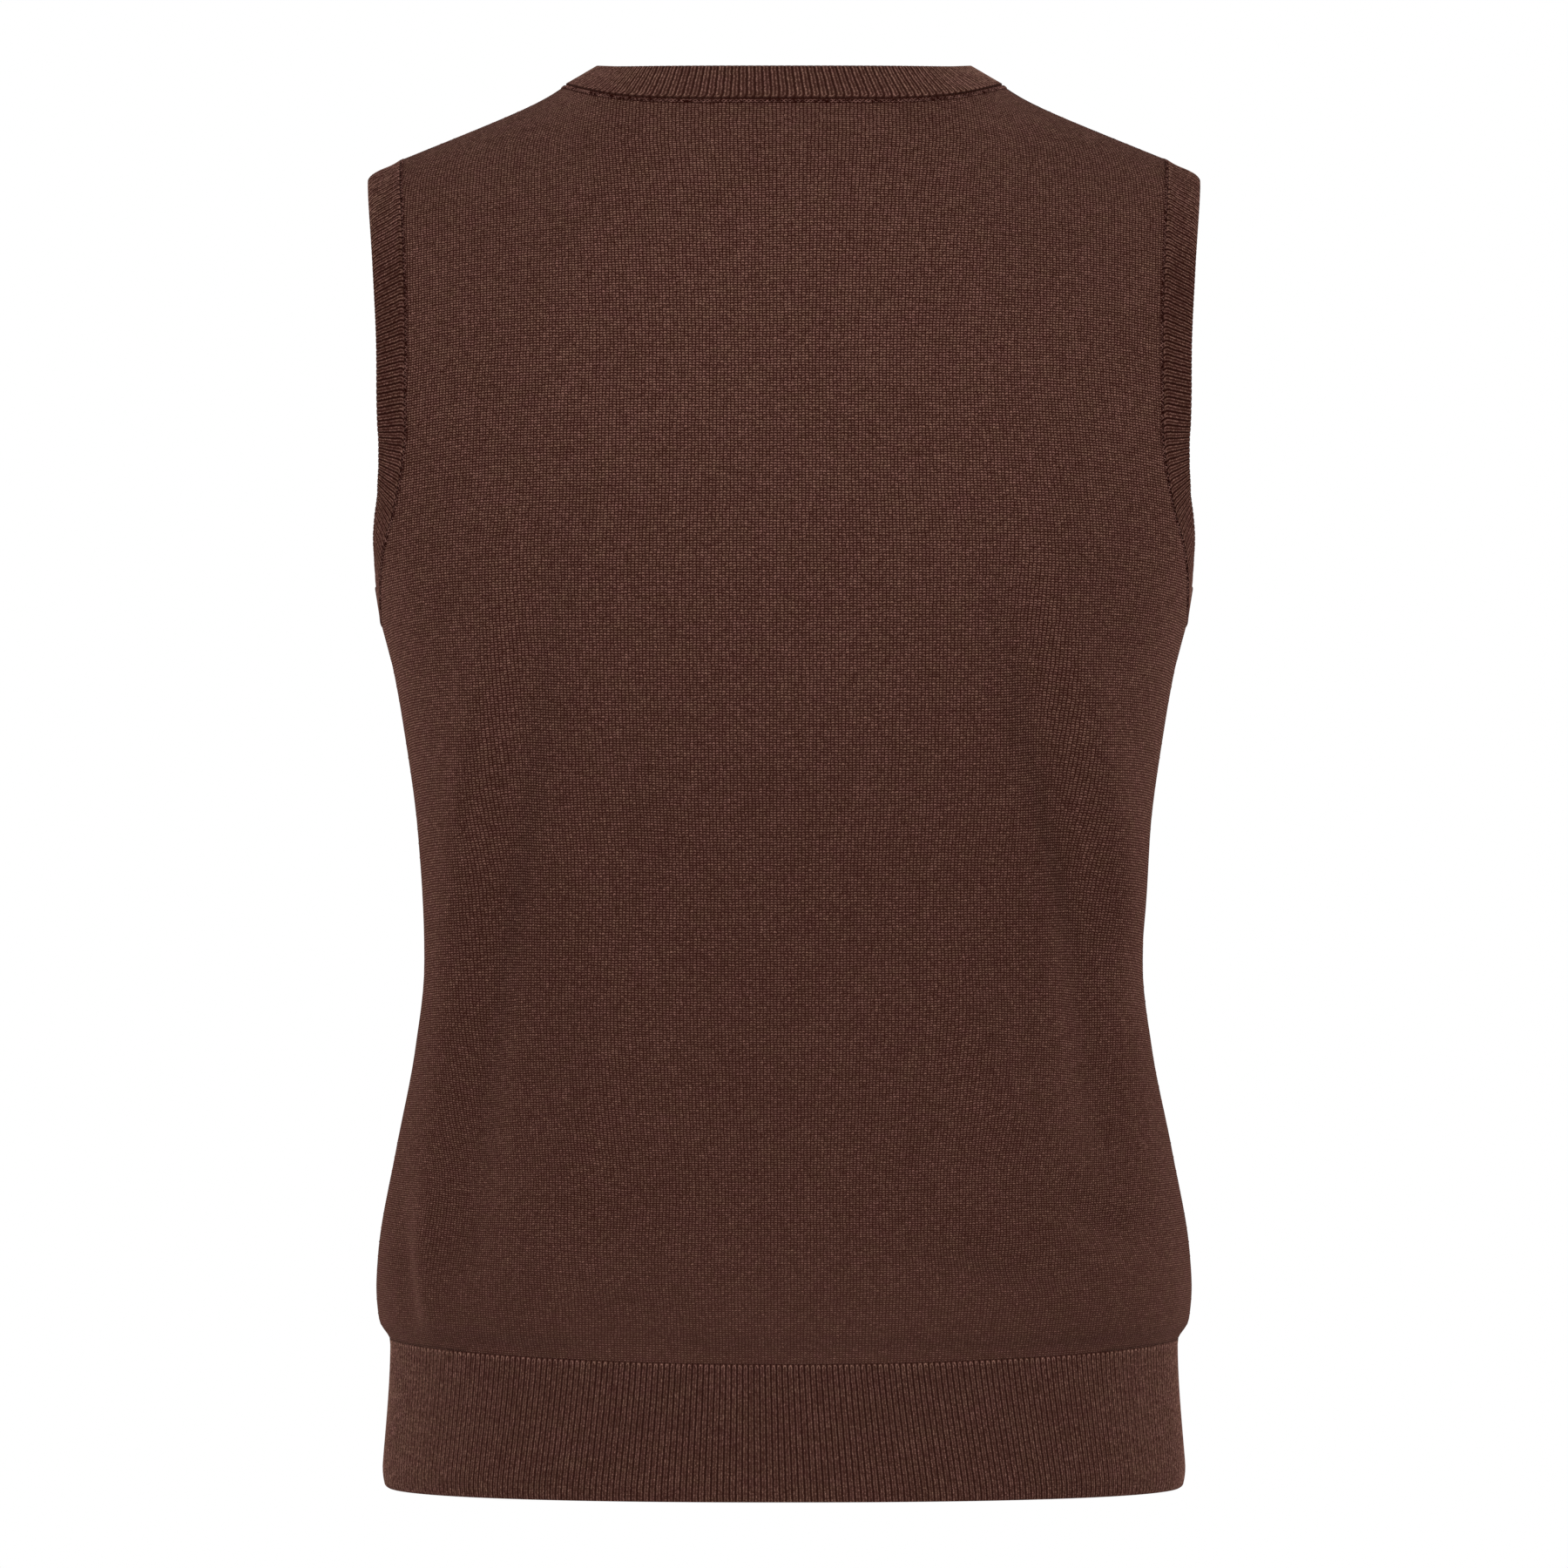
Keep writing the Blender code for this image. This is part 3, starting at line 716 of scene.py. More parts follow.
def upper_row(side, share):
    """A row between the armholes, from level at the underarm to the upper edge."""
    edge = half_width(UNDERARM_DROP)
    for _ in range(8):  # its end's height and width depend on each other
        end = UNDERARM_DROP - share * (UNDERARM_DROP + ridge(edge))
        edge = half_width(end) * armhole_share[side](end)

    def height(x):
        return -UNDERARM_DROP + share * (upper_edge(side, x) + UNDERARM_DROP)

    path = row_path(side, edge, height)
    length = measured(path)
    half = length[-1] / 2
    middle = COLUMNS // 2
    column = np.arange(middle + 1)
    full = underarm_length(side)
    outer = np.clip(1 - column / ARMHOLE_COLUMNS, 0, 1) ** ARMHOLE_GRADING
    from_centre = full * (1 - 2 * across_shares()[: middle + 1]) - (full - half) * outer
    low = (half - from_centre) / length[-1]
    corner = SHOULDER_COLUMNS[side]
    at_corner = np.interp(-NECK_HALF, -path[:, 0], length) / length[-1]
    along_neck = np.clip((column - corner) / (middle - corner), 0, 1) ** NECK_GRADING
    along_seam = np.minimum(column / corner, 1) ** SEAM_GRADING
    top = along_seam * at_corner + along_neck * (0.5 - at_corner)
    shares = low + share**2 * (top - low)
    return divided(path, np.concatenate([shares, 1 - shares[-2::-1]]))


# %% The nets of the back and the front
def panel_net(side):
    """A panel's points row by row from the rib up, clockwise from the wearer's left on the back."""
    rows = []
    for drop in finer(LOWER_ROWS, LOWER_FINER)[:-1]:
        rise = RIB_TOP_RISE * ((drop - UNDERARM_DROP) / (LOWER_ROWS[0] - UNDERARM_DROP)) ** 2
        rows.append(level_row(side, drop, rise, across_shares()))
    rows.append(level_row(side, LOWER_ROWS[-1], 0, across_shares()))
    rows += [upper_row(side, share) for share in finer(UPPER_ROWS, UPPER_FINER)]
    net = np.stack(rows)
    return net if side == BACK else net[:, ::-1]


nets = {side: panel_net(side) for side in (BACK, FRONT)}
UNDERARM_ROW = len(nets[BACK]) - UPPER_COUNT
print("rows and columns of a panel:", nets[BACK].shape[:2])

# %% [markdown]
# ## Creases
# Soft cloth on a body lies in shallow troughs and ridges: two long troughs where the waist draws
# in, the shoulder blades, slanting folds below the front's armholes, and small folds in the puff
# that sags over the tight rib. Each is given as a line of a few points with a width and a
# height. A line spreads softly to both sides and dies away at its ends, and beside the side seams
# and the rib, which hold the cloth. The points only move along the form's normals, so no crease can
# fold over.

# %% Troughs (below 0) and ridges (above 0), by panel, half width, height and line (across, drop)
CREASES = (
    # the long troughs from below the armholes to the hips, each with a ridge outside it
    (
        BACK, 0.013, -0.0090,
        ((-0.080, 0.165), (-0.101, 0.242), (-0.120, 0.325), (-0.126, 0.400), (-0.130, 0.450)),
    ),
    (BACK, 0.011, 0.0048, ((-0.100, 0.180), (-0.116, 0.242), (-0.131, 0.310), (-0.137, 0.350))),
    (
        BACK, 0.013, -0.0076,
        ((0.092, 0.160), (0.108, 0.274), (0.122, 0.376), (0.128, 0.455), (0.129, 0.480)),
    ),
    (BACK, 0.011, 0.0044, ((0.109, 0.175), (0.123, 0.274), (0.133, 0.376), (0.143, 0.440))),
    # the shoulder blades and the valley between them
    (BACK, 0.036, 0.0088, ((0.105, 0.128), (0.068, 0.140), (0.032, 0.132))),
    (BACK, 0.032, 0.0078, ((-0.070, 0.150), (-0.100, 0.166), (-0.126, 0.178))),
    (BACK, 0.018, -0.0028, ((0.018, 0.030), (0.016, 0.080), (0.014, 0.130))),
    # the waist
    (BACK, 0.018, -0.0040, ((0.072, 0.258), (0.064, 0.300), (0.068, 0.345))),
    (BACK, 0.012, 0.0052, ((-0.062, 0.335), (-0.078, 0.385), (-0.096, 0.430))),
    (BACK, 0.013, 0.0046, ((0.066, 0.352), (0.084, 0.436), (0.098, 0.492))),
    # the puff above the rib
    (BACK, 0.007, -0.0056, ((-0.045, 0.459), (-0.083, 0.467), (-0.100, 0.476), (-0.124, 0.476))),
    (BACK, 0.008, -0.0052, ((-0.104, 0.440), (-0.130, 0.457), (-0.156, 0.461))),
    (BACK, 0.013, 0.0030, ((-0.045, 0.477), (-0.075, 0.480), (-0.115, 0.483), (-0.154, 0.479))),
    (BACK, 0.012, -0.0044, ((0.096, 0.474), (0.068, 0.490), (0.034, 0.497))),
    (BACK, 0.011, 0.0032, ((0.072, 0.454), (0.048, 0.468), (0.020, 0.474))),
    (BACK, 0.005, -0.0036, ((0.1515, 0.430), (0.1535, 0.460), (0.1500, 0.488), (0.1460, 0.502))),
    (BACK, 0.005, 0.0026, ((0.1440, 0.440), (0.1440, 0.475), (0.1400, 0.500))),
    # the front's long troughs, the folds below its armholes and its puff
    (FRONT, 0.014, -0.0050, ((0.080, 0.200), (0.094, 0.275), (0.108, 0.345), (0.124, 0.410))),
    (FRONT, 0.011, 0.0028, ((0.100, 0.205), (0.114, 0.275), (0.128, 0.340))),
    (FRONT, 0.014, -0.0054, ((-0.084, 0.190), (-0.098, 0.270), (-0.110, 0.340), (-0.127, 0.405))),
    (FRONT, 0.011, 0.0028, ((-0.104, 0.200), (-0.118, 0.270), (-0.130, 0.345))),
    (FRONT, 0.018, -0.0034, ((0.130, 0.215), (0.105, 0.240), (0.080, 0.262))),
    (FRONT, 0.018, -0.0030, ((-0.132, 0.210), (-0.108, 0.236), (-0.085, 0.250))),
    (FRONT, 0.030, 0.0030, ((0.090, 0.170), (0.060, 0.190), (0.030, 0.185))),
    (FRONT, 0.008, -0.0036, ((0.060, 0.455), (0.095, 0.460), (0.145, 0.448))),
    (FRONT, 0.010, 0.0032, ((0.050, 0.482), (0.095, 0.490), (0.145, 0.482))),
    (FRONT, 0.009, -0.0034, ((-0.055, 0.460), (-0.090, 0.466), (-0.138, 0.454))),
    (FRONT, 0.010, 0.0026, ((-0.040, 0.484), (-0.090, 0.492), (-0.140, 0.484))),
    (FRONT, 0.006, -0.0020, ((-0.040, 0.500), (0.000, 0.502), (0.045, 0.499))),
)


# %% The swell of all creases over a panel
LINE_STEPS = 41
END_FADE = 0.7  # below 1, a line keeps its height until near its ends
SEAM_HOLD = 6  # columns beside a side seam, over which the seam holds the cloth to its form
RIB_HOLD = 4  # rows above the rib, over which the rib does the same


def smooth_line(points):
    """Places along a smooth line through a few points, even in their own step."""
    points = np.array(points)
    step = np.linspace(0, len(points) - 1, LINE_STEPS)
    k = np.minimum(step.astype(int), len(points) - 2)
    t = (step - k)[:, None]
    tangent = np.gradient(points, axis=0)
    along = points[k] * (1 + 2 * t) * (1 - t) ** 2 + points[k + 1] * t * t * (3 - 2 * t)
    return along + tangent[k] * t * (1 - t) ** 2 + tangent[k + 1] * t * t * (t - 1)


def held(points):
    """0 at the side seams and the rib, rising smoothly to 1 where the cloth is free."""
    columns = np.arange(points.shape[1])
    rows = np.arange(points.shape[0])[:, None]
    from_seam = np.clip(np.minimum(columns, columns[::-1]) / SEAM_HOLD, 0, 1)
    free = from_seam * np.clip(rows / RIB_HOLD, 0, 1)
    return free * free * (3 - 2 * free)


def creased(side, points, normals):
    """The points, moved along their normals by the creases of their panel."""
    swell = np.zeros(points.shape[:-1])
    for panel, width, height, line in CREASES:
        if panel != side:
            continue
        places = smooth_line(line)
        step = np.linalg.norm(np.gradient(places, axis=0), axis=1)
        fade = np.sin(math.pi * np.linspace(0, 1, LINE_STEPS)) ** END_FADE
        for (x, drop), length, share in zip(places, step, fade):
            near = (points[..., 0] - x) ** 2 + (points[..., 2] + drop) ** 2
            peak = height * share * length / (math.sqrt(math.pi) * width)
            swell += peak * np.exp(-near / width**2)
    return points + normals * (swell * held(points))[..., None]


print(len(CREASES), "creases")

# %% [markdown]
# ## Counting stitches
# The stitch pattern has to follow the cloth, so each point of the net is told which wale and which
# course it lies on. Wales are counted from the middle of each row, and courses up from the rib, by
# the distance along each wale from one row to the next. Stitches are largest where the shoulders
# stretch the cloth, and smallest in the puff above the rib, where it hangs loose.

# %% Wale and course numbers of a net
STITCHES = (  # drop, width of a wale, height of a course
    (0.025, 0.00154, 0.00104),
    (0.050, 0.00147, 0.00104),
    (0.082, 0.00142, 0.00103),
    (0.117, 0.00139, 0.00103),
    (0.155, 0.00140, 0.00103),
    (0.197, 0.00144, 0.00104),
    (0.282, 0.00142, 0.00103),
    (0.324, 0.00138, 0.00103),
    (0.366, 0.00138, 0.00098),
    (0.408, 0.00134, 0.00093),
    (0.443, 0.00129, 0.00090),
    (0.475, 0.00130, 0.00085),
    (0.510, 0.00127, 0.00082),
)
wale_width = curve_through(STITCHES, 1)
course_height = curve_through(STITCHES, 2)


def stitches_of(net):
    """The wale and course number of each point of a net."""
    middle = COLUMNS // 2
    length = np.stack([measured(row) for row in net])
    drop = -net[..., 2]
    wale = (length - length[:, middle : middle + 1]) / wale_width(drop)
    course = np.zeros(net.shape[:2])
    for row in range(1, len(net)):
        here, under = wale[row], wale[row - 1]
        below = np.stack([np.interp(here, under, net[row - 1, :, k]) for k in range(3)], -1)
        step = np.linalg.norm(net[row] - below, axis=-1)
        course[row] = np.interp(here, under, course[row - 1]) + step / course_height(drop[row])
    return np.stack([wale, course], -1)


counted = stitches_of(nets[BACK])
print("wales at the underarm:", round(float(np.ptp(counted[UNDERARM_ROW, :, 0]))))
print("courses up the middle:", round(float(counted[-1, COLUMNS // 2, 1])))

# %% [markdown]
# ## From a net to cloth
# A wall of cloth is thin but has two sides. It starts as a flat grid, which is extruded to give it
# its second side and its edges. Then each point of the grid is carried to its place on the form,
# the lifted ones to the outside and the others to the inside. As the grid's rows and columns are
# the net's, the stitch numbers go straight into its UV map.

# %% A flat grid, thickened and carried to its worn place
SHARP_ANGLE = math.radians(80)  # a wall's corners are sharper than this, its curves are not


def flat_wall(name, rows, columns):
    """A flat grid of that many points, extruded to two layers 1 apart."""
    bpy.ops.object.select_all(action="DESELECT")
    bpy.ops.mesh.primitive_grid_add(x_subdivisions=columns - 1, y_subdivisions=rows - 1, size=1)
    piece = bpy.context.object
    piece.name = name
    piece.data.name = name
    bpy.ops.object.mode_set(mode="EDIT")
    bpy.ops.mesh.select_all(action="SELECT")
    bpy.ops.mesh.extrude_region_move(TRANSFORM_OT_translate={"value": (0, 0, 1)})
    bpy.ops.object.mode_set(mode="OBJECT")
    return piece


def worn_cloth(name, outside, inside, stitches, right_side, wrong_side, linked=None):
    """linked is how far each point lies from an edge that a band is linked to, for the painted
    shade there.
    """
    rows, columns = outside.shape[:2]
    piece = flat_wall(name, rows, columns)
    mesh = piece.data
    flat = np.empty(len(mesh.vertices) * 3)
    mesh.vertices.foreach_get("co", flat)
    flat = flat.reshape(-1, 3)
    column = np.rint((flat[:, 0] + 0.5) * (columns - 1)).astype(int)
    row = np.rint((flat[:, 1] + 0.5) * (rows - 1)).astype(int)
    lifted = flat[:, 2] > 0.5
    placed = np.where(lifted[:, None], outside[row, column], inside[row, column])
    mesh.vertices.foreach_set("co", placed.ravel())

    corners = np.empty(len(mesh.loops), dtype=int)
    mesh.loops.foreach_get("vertex_index", corners)
    knit = mesh.uv_layers.active
    knit.name = "knit"
    knit.data.foreach_set("uv", stitches[row, column][corners].ravel())
    if linked is not None:
        apart = linked[row, column][corners]
        linked_map = mesh.uv_layers.new(name="linked")
        linked_map.data.foreach_set("uv", np.stack([apart, 0 * apart], -1).ravel())
    hidden = ~lifted[corners].reshape(-1, 4).any(axis=1)
    mesh.materials.append(right_side)
    mesh.materials.append(wrong_side)
    mesh.polygons.foreach_set("material_index", hidden.astype(int))

    bpy.ops.object.mode_set(mode="EDIT")
    bpy.ops.mesh.select_all(action="SELECT")
    bpy.ops.mesh.normals_make_consistent(inside=False)
    bpy.ops.object.mode_set(mode="OBJECT")
    bpy.ops.object.shade_smooth_by_angle(angle=SHARP_ANGLE)
    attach(piece, "root")
    print(name, "has", 2 * len(mesh.polygons), "triangles")
    return piece


# %% [markdown]
# ## The back and the front
# Both panels are plain jersey, 1.5 mm thick, filled out by the wearer. The back has a shallow,
# nearly straight neck and the front a V. At the rib their walls turn upright to meet the welt, so
# that the puff above it folds down on to the ribbing. Each point also gets its distance from the
# edges that a band is linked to, where painted shade darkens the stitches beside the linking.

# %% How far the linked edges are
ARMHOLE_SHADE_NARROWER = 2.7  # the painted shade beside an armhole's linking is this many times narrower than the neck's


def from_edge(points, edge):
    """How far points lie from the line that joins an edge's points."""
    nearest = np.full(points.shape[:-1], np.inf)
    for start, end in zip(edge[:-1], edge[1:]):
        way = end - start
        share = np.clip((points - start) @ way / (way @ way), 0, 1)
        apart = np.linalg.norm(points - start - share[..., None] * way, axis=-1)
        nearest = np.minimum(nearest, apart)
    return nearest


def from_linked_edges(side, outside):
    """How far each point of a panel lies from its neck edge, or from an armhole, counted more."""
    corner = SHOULDER_COLUMNS[side]
    neck = from_edge(outside, outside[-1, corner : COLUMNS - corner + 1])
    left = from_edge(outside, outside[UNDERARM_ROW:, 0])
    right = from_edge(outside, outside[UNDERARM_ROW:, -1])
    return np.minimum(neck, ARMHOLE_SHADE_NARROWER * np.minimum(left, right))


# %% The two jersey panels
JERSEY_WALL = 0.0015


def panel_walls(side):
    """A panel's outer points, inner points and stitch numbers."""
    net = nets[side].copy()
    stitches = stitches_of(net)
    normals = facing(side, net)
    normals[0, :, 2] = 0  # level at the rib, as the welt's are
    normals = unit(normals)
    net[..., 1] += side * SEAM_GAP / 2
    outside = creased(side, net, normals)
    return outside, outside - JERSEY_WALL * normals, stitches


back_out, back_in, back_stitches = panel_walls(BACK)
front_out, front_in, front_stitches = panel_walls(FRONT)
back_shell = worn_cloth(
    "back_shell", back_out, back_in, back_stitches, jersey_face, jersey_wrong_side,
    from_linked_edges(BACK, back_out),
)
front_shell = worn_cloth(
    "front_shell", front_out, front_in, front_stitches, jersey_face, jersey_wrong_side,
    from_linked_edges(FRONT, front_out),
)
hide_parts("back")
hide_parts("front")

# %% [markdown]
# ## The ribbed welt
# The welt is knitted on below each panel and grips the hips. It has 186 ribs a side, each a ridge
# of two legs. Six columns of points make a rib: its profile rises steeply out of a narrow groove to
# a leg, dips a little between the legs, and falls back. The ribs fan out from the middle on their
# way down. Only the free edge curls in a little, over a short run, and it ends in a rounded rim.

# %% The shape across one rib and over the rim
RIB_PLACES = np.array([0.0, 0.13, 0.29, 0.50, 0.71, 0.87])
RIB_PROFILE = np.array([0.0, 0.72, 1.0, 0.84, 1.0, 0.72])
RIB_RAISED = 0.0005
BAND_WALL = 0.0016
RIB_COURSE = 0.00085
RIM_ROWS = np.array([0, 0.35, 0.7, 0.9, 1.0])  # across the last stretch before a free edge
RIM_LEFT = 0.06  # a free edge keeps the square root of this share of the wall


def rib_places(count):
    """Where the points of that many ribs stand, in ribs from the first groove."""
    return np.append((np.arange(count)[:, None] + RIB_PLACES).ravel(), count)


def rib_height(count):
    """The profile of that many ribs, from groove to groove."""
    return np.append(np.tile(RIB_PROFILE, count), 0.0)


def rim(rows):
    """How much of the wall is left in each row, as it rounds off towards the free edge."""
    return np.sqrt(np.clip(1 - rows**2, RIM_LEFT, 1))


# %% The welt, back and front
HEM_ROWS = 26
RIM_DEPTH = 0.0012
WELT_TUCK = 0.0003  # how far the first course of ribs reaches up against the jersey
HEM_FAN = 0.0175  # how strongly the ribs spread from the middle on their way down
HEM_DRIFT = 0.0040  # how far the middle rib moves aside on its way down, as a share of the row
HEM_DRAWN_IN = 0.0018  # the free edge curls in by this much, over a short run
HEM_DRAWN_RUN = 0.0090


def fanned(shares, down):
    """The places of the ribs on a row: spread in the middle as they go down, and drifted aside."""
    from_middle = (down - 0.5) * np.sin(math.pi * shares) ** 2
    return shares + from_middle * (-2 * HEM_FAN * np.cos(math.pi * shares) + HEM_DRIFT)


def welt(side, name):
    """The welt's shell, and its points at the foot of the ribs, row by row from the hem up."""
    shares = rib_places(HEM_RIBS) / HEM_RIBS
    drops = np.linspace(-WELT_TUCK, HEM_DROP - RIM_DEPTH - RIB_TOP_DROP, HEM_ROWS)
    rims = drops[-1] + RIM_DEPTH * RIM_ROWS[1:]
    below = np.concatenate([drops, rims])
    left = np.concatenate([np.ones(HEM_ROWS), rim(RIM_ROWS[1:])])
    whole = HEM_DROP - RIB_TOP_DROP
    rows = []
    for drop in below:
        down = drop / whole
        rise = RIB_TOP_RISE * (1 - down)
        rows.append(level_row(side, RIB_TOP_DROP + drop, rise, fanned(shares, down)))
    net = np.stack(rows)[::-1]
    if side == FRONT:
        net = net[:, ::-1]
    left = left[::-1, None, None]
    normals = facing(side, net)
    normals[..., 2] = 0
    normals = unit(normals)
    ribs = np.tile(shares * HEM_RIBS, (len(net), 1))
    courses = np.tile((below / RIB_COURSE)[::-1, None], (1, len(shares)))
    net[..., 1] += side * SEAM_GAP / 2
    curled = np.clip(1 - (whole - below[::-1]) / HEM_DRAWN_RUN, 0, 1) ** 2
    valley = net - (RIB_RAISED / 2 + HEM_DRAWN_IN * curled[:, None, None]) * normals
    raised = RIB_RAISED * rib_height(HEM_RIBS)[None, :, None] * normals
    middle = valley - BAND_WALL / 2 * normals
    outside = middle + left * (BAND_WALL / 2 * normals + raised)
    inside = middle - left * BAND_WALL / 2 * normals
    piece = worn_cloth(name, outside, inside, np.stack([ribs, courses], -1), welt_rib, welt_rib)
    return piece, valley


hem_rib_back_shell, welt_back = welt(BACK, "hem_rib_back_shell")
hem_rib_front_shell, welt_front = welt(FRONT, "hem_rib_front_shell")
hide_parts("hem_rib_back")
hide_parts("hem_rib_front")

# %% [markdown]
# ## Linked bands
# The neckband and the armbands are narrow ribbed strips, linked stitch by stitch to the raw edges.
# A band grows out of its edge in the panel's own direction, turned a little up, in or out, as the
# tables say. Its ribs don't all stand square to the edge: they trail, and where the linking pulls
# at them they hook over in their last few stitches.

# %% The edges that the bands are linked to
def neck_edge(back, front):
    """From the V up the left front, round the back of the neck, and down to the V."""
    middle = COLUMNS // 2
    left = front[-1, middle : COLUMNS - SHOULDER_COLUMNS[FRONT] + 1]
    nape = back[-1, SHOULDER_COLUMNS[BACK] : COLUMNS - SHOULDER_COLUMNS[BACK] + 1]
    right = front[-1, SHOULDER_COLUMNS[FRONT] : middle + 1]
    return np.concatenate([left, nape, right])


def armhole_edge(back, front, left):
    """From the underarm up one panel and down the other, clockwise as seen from outside."""
    up, down = (back, front) if left else (front, back)
    return np.concatenate([up[UNDERARM_ROW:, 0], down[UNDERARM_ROW:, -1][::-1]])


neck_out, neck_in = neck_edge(back_out, front_out), neck_edge(back_in, front_in)
print("neck edge", round(measured(neck_out)[-1], 3), "m")
arm_out = {left: armhole_edge(back_out, front_out, left) for left in (True, False)}
arm_in = {left: armhole_edge(back_in, front_in, left) for left in (True, False)}
print("armhole edge", round(measured(arm_out[True])[-1], 3), "m")


# %% A ribbed strip that grows out of an edge
BULGE_LATE = 2.4  # above 1, the bulge lies nearer to the free edge
BAND_ROWS = 14
HOOK_REACH = 0.13  # share of the width over which the ribs hook towards the linking


def band_surface(edge_out, edge_in, direction, closed):
    """The edge's length, and functions of the distance along it that give the edge's points, its
    normals, the way the band grows and the way that its right side faces."""
    along = measured(edge_out)
    stretch = unit(np.diff(edge_out, axis=0))
    before = np.concatenate([stretch[-1:] if closed else stretch[:1], stretch])
    after = np.concatenate([stretch, stretch[:1] if closed else stretch[-1:]])
    normals = unit(edge_out - edge_in)
    forward = unit(before + after)
    away = unit(np.cross(normals, forward))
    way = direction(edge_out, away)
    outward = unit(np.cross(forward, way))

    def along_edge(values):
        def at(places):
            flat = places.ravel()
            found = np.stack([np.interp(flat, along, values[:, k]) for k in range(3)], -1)
            return found.reshape(*places.shape, 3)

        return at

    return along[-1], *(along_edge(values) for values in (edge_out, normals, way, outward))


def linked_band(name, edge_out, edge_in, width, ribs, cloth, direction, trail, hook, bulge, mitre):
    """trail, hook and bulge are functions of the edge's points; mitre is the V's slope or 0."""
    length, edge, normal, way, outward = band_surface(edge_out, edge_in, direction, not mitre)
    places = rib_places(ribs) / ribs * length
    rim_share = RIM_DEPTH / width
    rim_rows = 1 - rim_share + rim_share * RIM_ROWS[1:]
    shares = np.concatenate([np.linspace(0, 1 - rim_share, BAND_ROWS), rim_rows])
    left = np.concatenate([np.ones(BAND_ROWS), rim(RIM_ROWS[1:])])[:, None, None]
    t = shares[:, None]
    start = edge(places)
    moved = places + trail(start) * t - hook(start) * np.clip(1 - t / HOOK_REACH, 0, 1) ** 2
    if mitre:
        lead = width * mitre
        from_end = np.minimum(places, length - places)
        leaning = np.where(from_end < 2 * lead, lead + from_end / 2, from_end)
        leaning = np.where(places < length / 2, leaning, length - leaning)
        moved = moved + t * (leaning - places)
    moved = np.clip(moved, 0, length)
    faces = unit(normal(moved) + t[..., None] * (outward(moved) - normal(moved)))
    wall = (JERSEY_WALL + t * (BAND_WALL - JERSEY_WALL))[..., None]
    base = edge(moved) + (SEAM_GAP + t * (width - SEAM_GAP))[..., None] * way(moved)
    base = base + (bulge(start) * np.sin(math.pi * t**BULGE_LATE))[..., None] * faces
    crest = RIB_RAISED * rib_height(ribs)[None, :, None]
    core = base - wall / 2 * faces
    outside = core + left * (wall / 2 + crest) * faces
    inside = core - left * wall / 2 * faces
    if mitre:
        for side in (outside, inside):
            side[:, 0, 0] = SEAM_GAP / 2
            side[:, -1, 0] = -SEAM_GAP / 2
    numbers = np.broadcast_to(places / length * ribs, base.shape[:2])
    courses = np.broadcast_to(t * width / RIB_COURSE, base.shape[:2])
    return worn_cloth(name, outside, inside, np.stack([numbers, courses], -1), cloth, cloth)


# %% [markdown]
# ## The neckband
# At the back of the neck the band stands up steeply, and on the front it lies in line with the
# panel and meets its other end in a mitre at the foot of the V. Its free edge is shorter than the
# linked one, so the ribs lean in towards the middle, most near the shoulders.

# %% The neckband
NECKBAND_WIDTH = 0.0155
NECKBAND_HEIGHTS = (  # distance behind the shoulder seams, the free edge's height over their ends
    (0.000, 0.0080),
    (0.020, 0.0068),
    (0.040, 0.0056),
    (0.070, 0.0043),
)
NECKBAND_SETTLES = 0.035  # distance before the seams over which it comes in line with the front
NAPE_RUN = 0.020  # distance behind them over which the ribs come to trail
NECKBAND_TRAIL = (  # place across the nape, how far a rib's free end lies past its foot
    (-0.090, -0.0080),
    (-0.045, -0.0050),
    (-0.026, -0.0038),
    (-0.010, -0.0022),
    (0.005, -0.0010),
    (0.018, -0.0002),
    (0.037, 0.0018),
    (0.067, 0.0030),
    (0.090, 0.0045),
)
NECKBAND_HOOK = 0.0008


def neckband_direction(points, away):
    """The way the band stands, steep at the nape and in line with the panel on the front."""
    level = unit(away * (1, 1, 0))
    place, height = np.array(NECKBAND_HEIGHTS).T
    rise = np.interp(points[:, 1], place, height) - np.where(points[:, 1] > 0, points[:, 2], 0)
    rise = np.clip(rise / NECKBAND_WIDTH, 0, 1)[:, None]
    standing = np.sqrt(1 - rise**2) * level + rise * np.array([0, 0, 1])
    settled = np.clip(-points[:, 1] / NECKBAND_SETTLES, 0, 1)[:, None]
    return unit(standing + settled * (away - standing))


def neckband_trail(points):
    place, trail = np.array(NECKBAND_TRAIL).T
    at_nape = np.clip(points[:, 1] / NAPE_RUN, 0, 1)
    return np.interp(points[:, 0], place, trail) * at_nape


V_SLOPE = FRONT_NECK_DROP * FRONT_NECK_BOW / NECK_HALF
neckband_shell = linked_band(
    "neckband_shell", neck_out, neck_in, NECKBAND_WIDTH, NECKBAND_RIBS, neck_rib,
    direction=neckband_direction,
    trail=neckband_trail,
    hook=lambda points: np.full(len(points), NECKBAND_HOOK),
    bulge=lambda points: np.zeros(len(points)),
    mitre=V_SLOPE,
)
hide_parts("neckband")

# %% [markdown]
# ## The armbands
# Each armband runs once round its armhole and is closed at the underarm. Over the shoulder it falls
# outwards and is a little convex. Its ribs hang down a little from the linking, by about a tenth of
# a right angle near the shoulder and not at all under the arm.

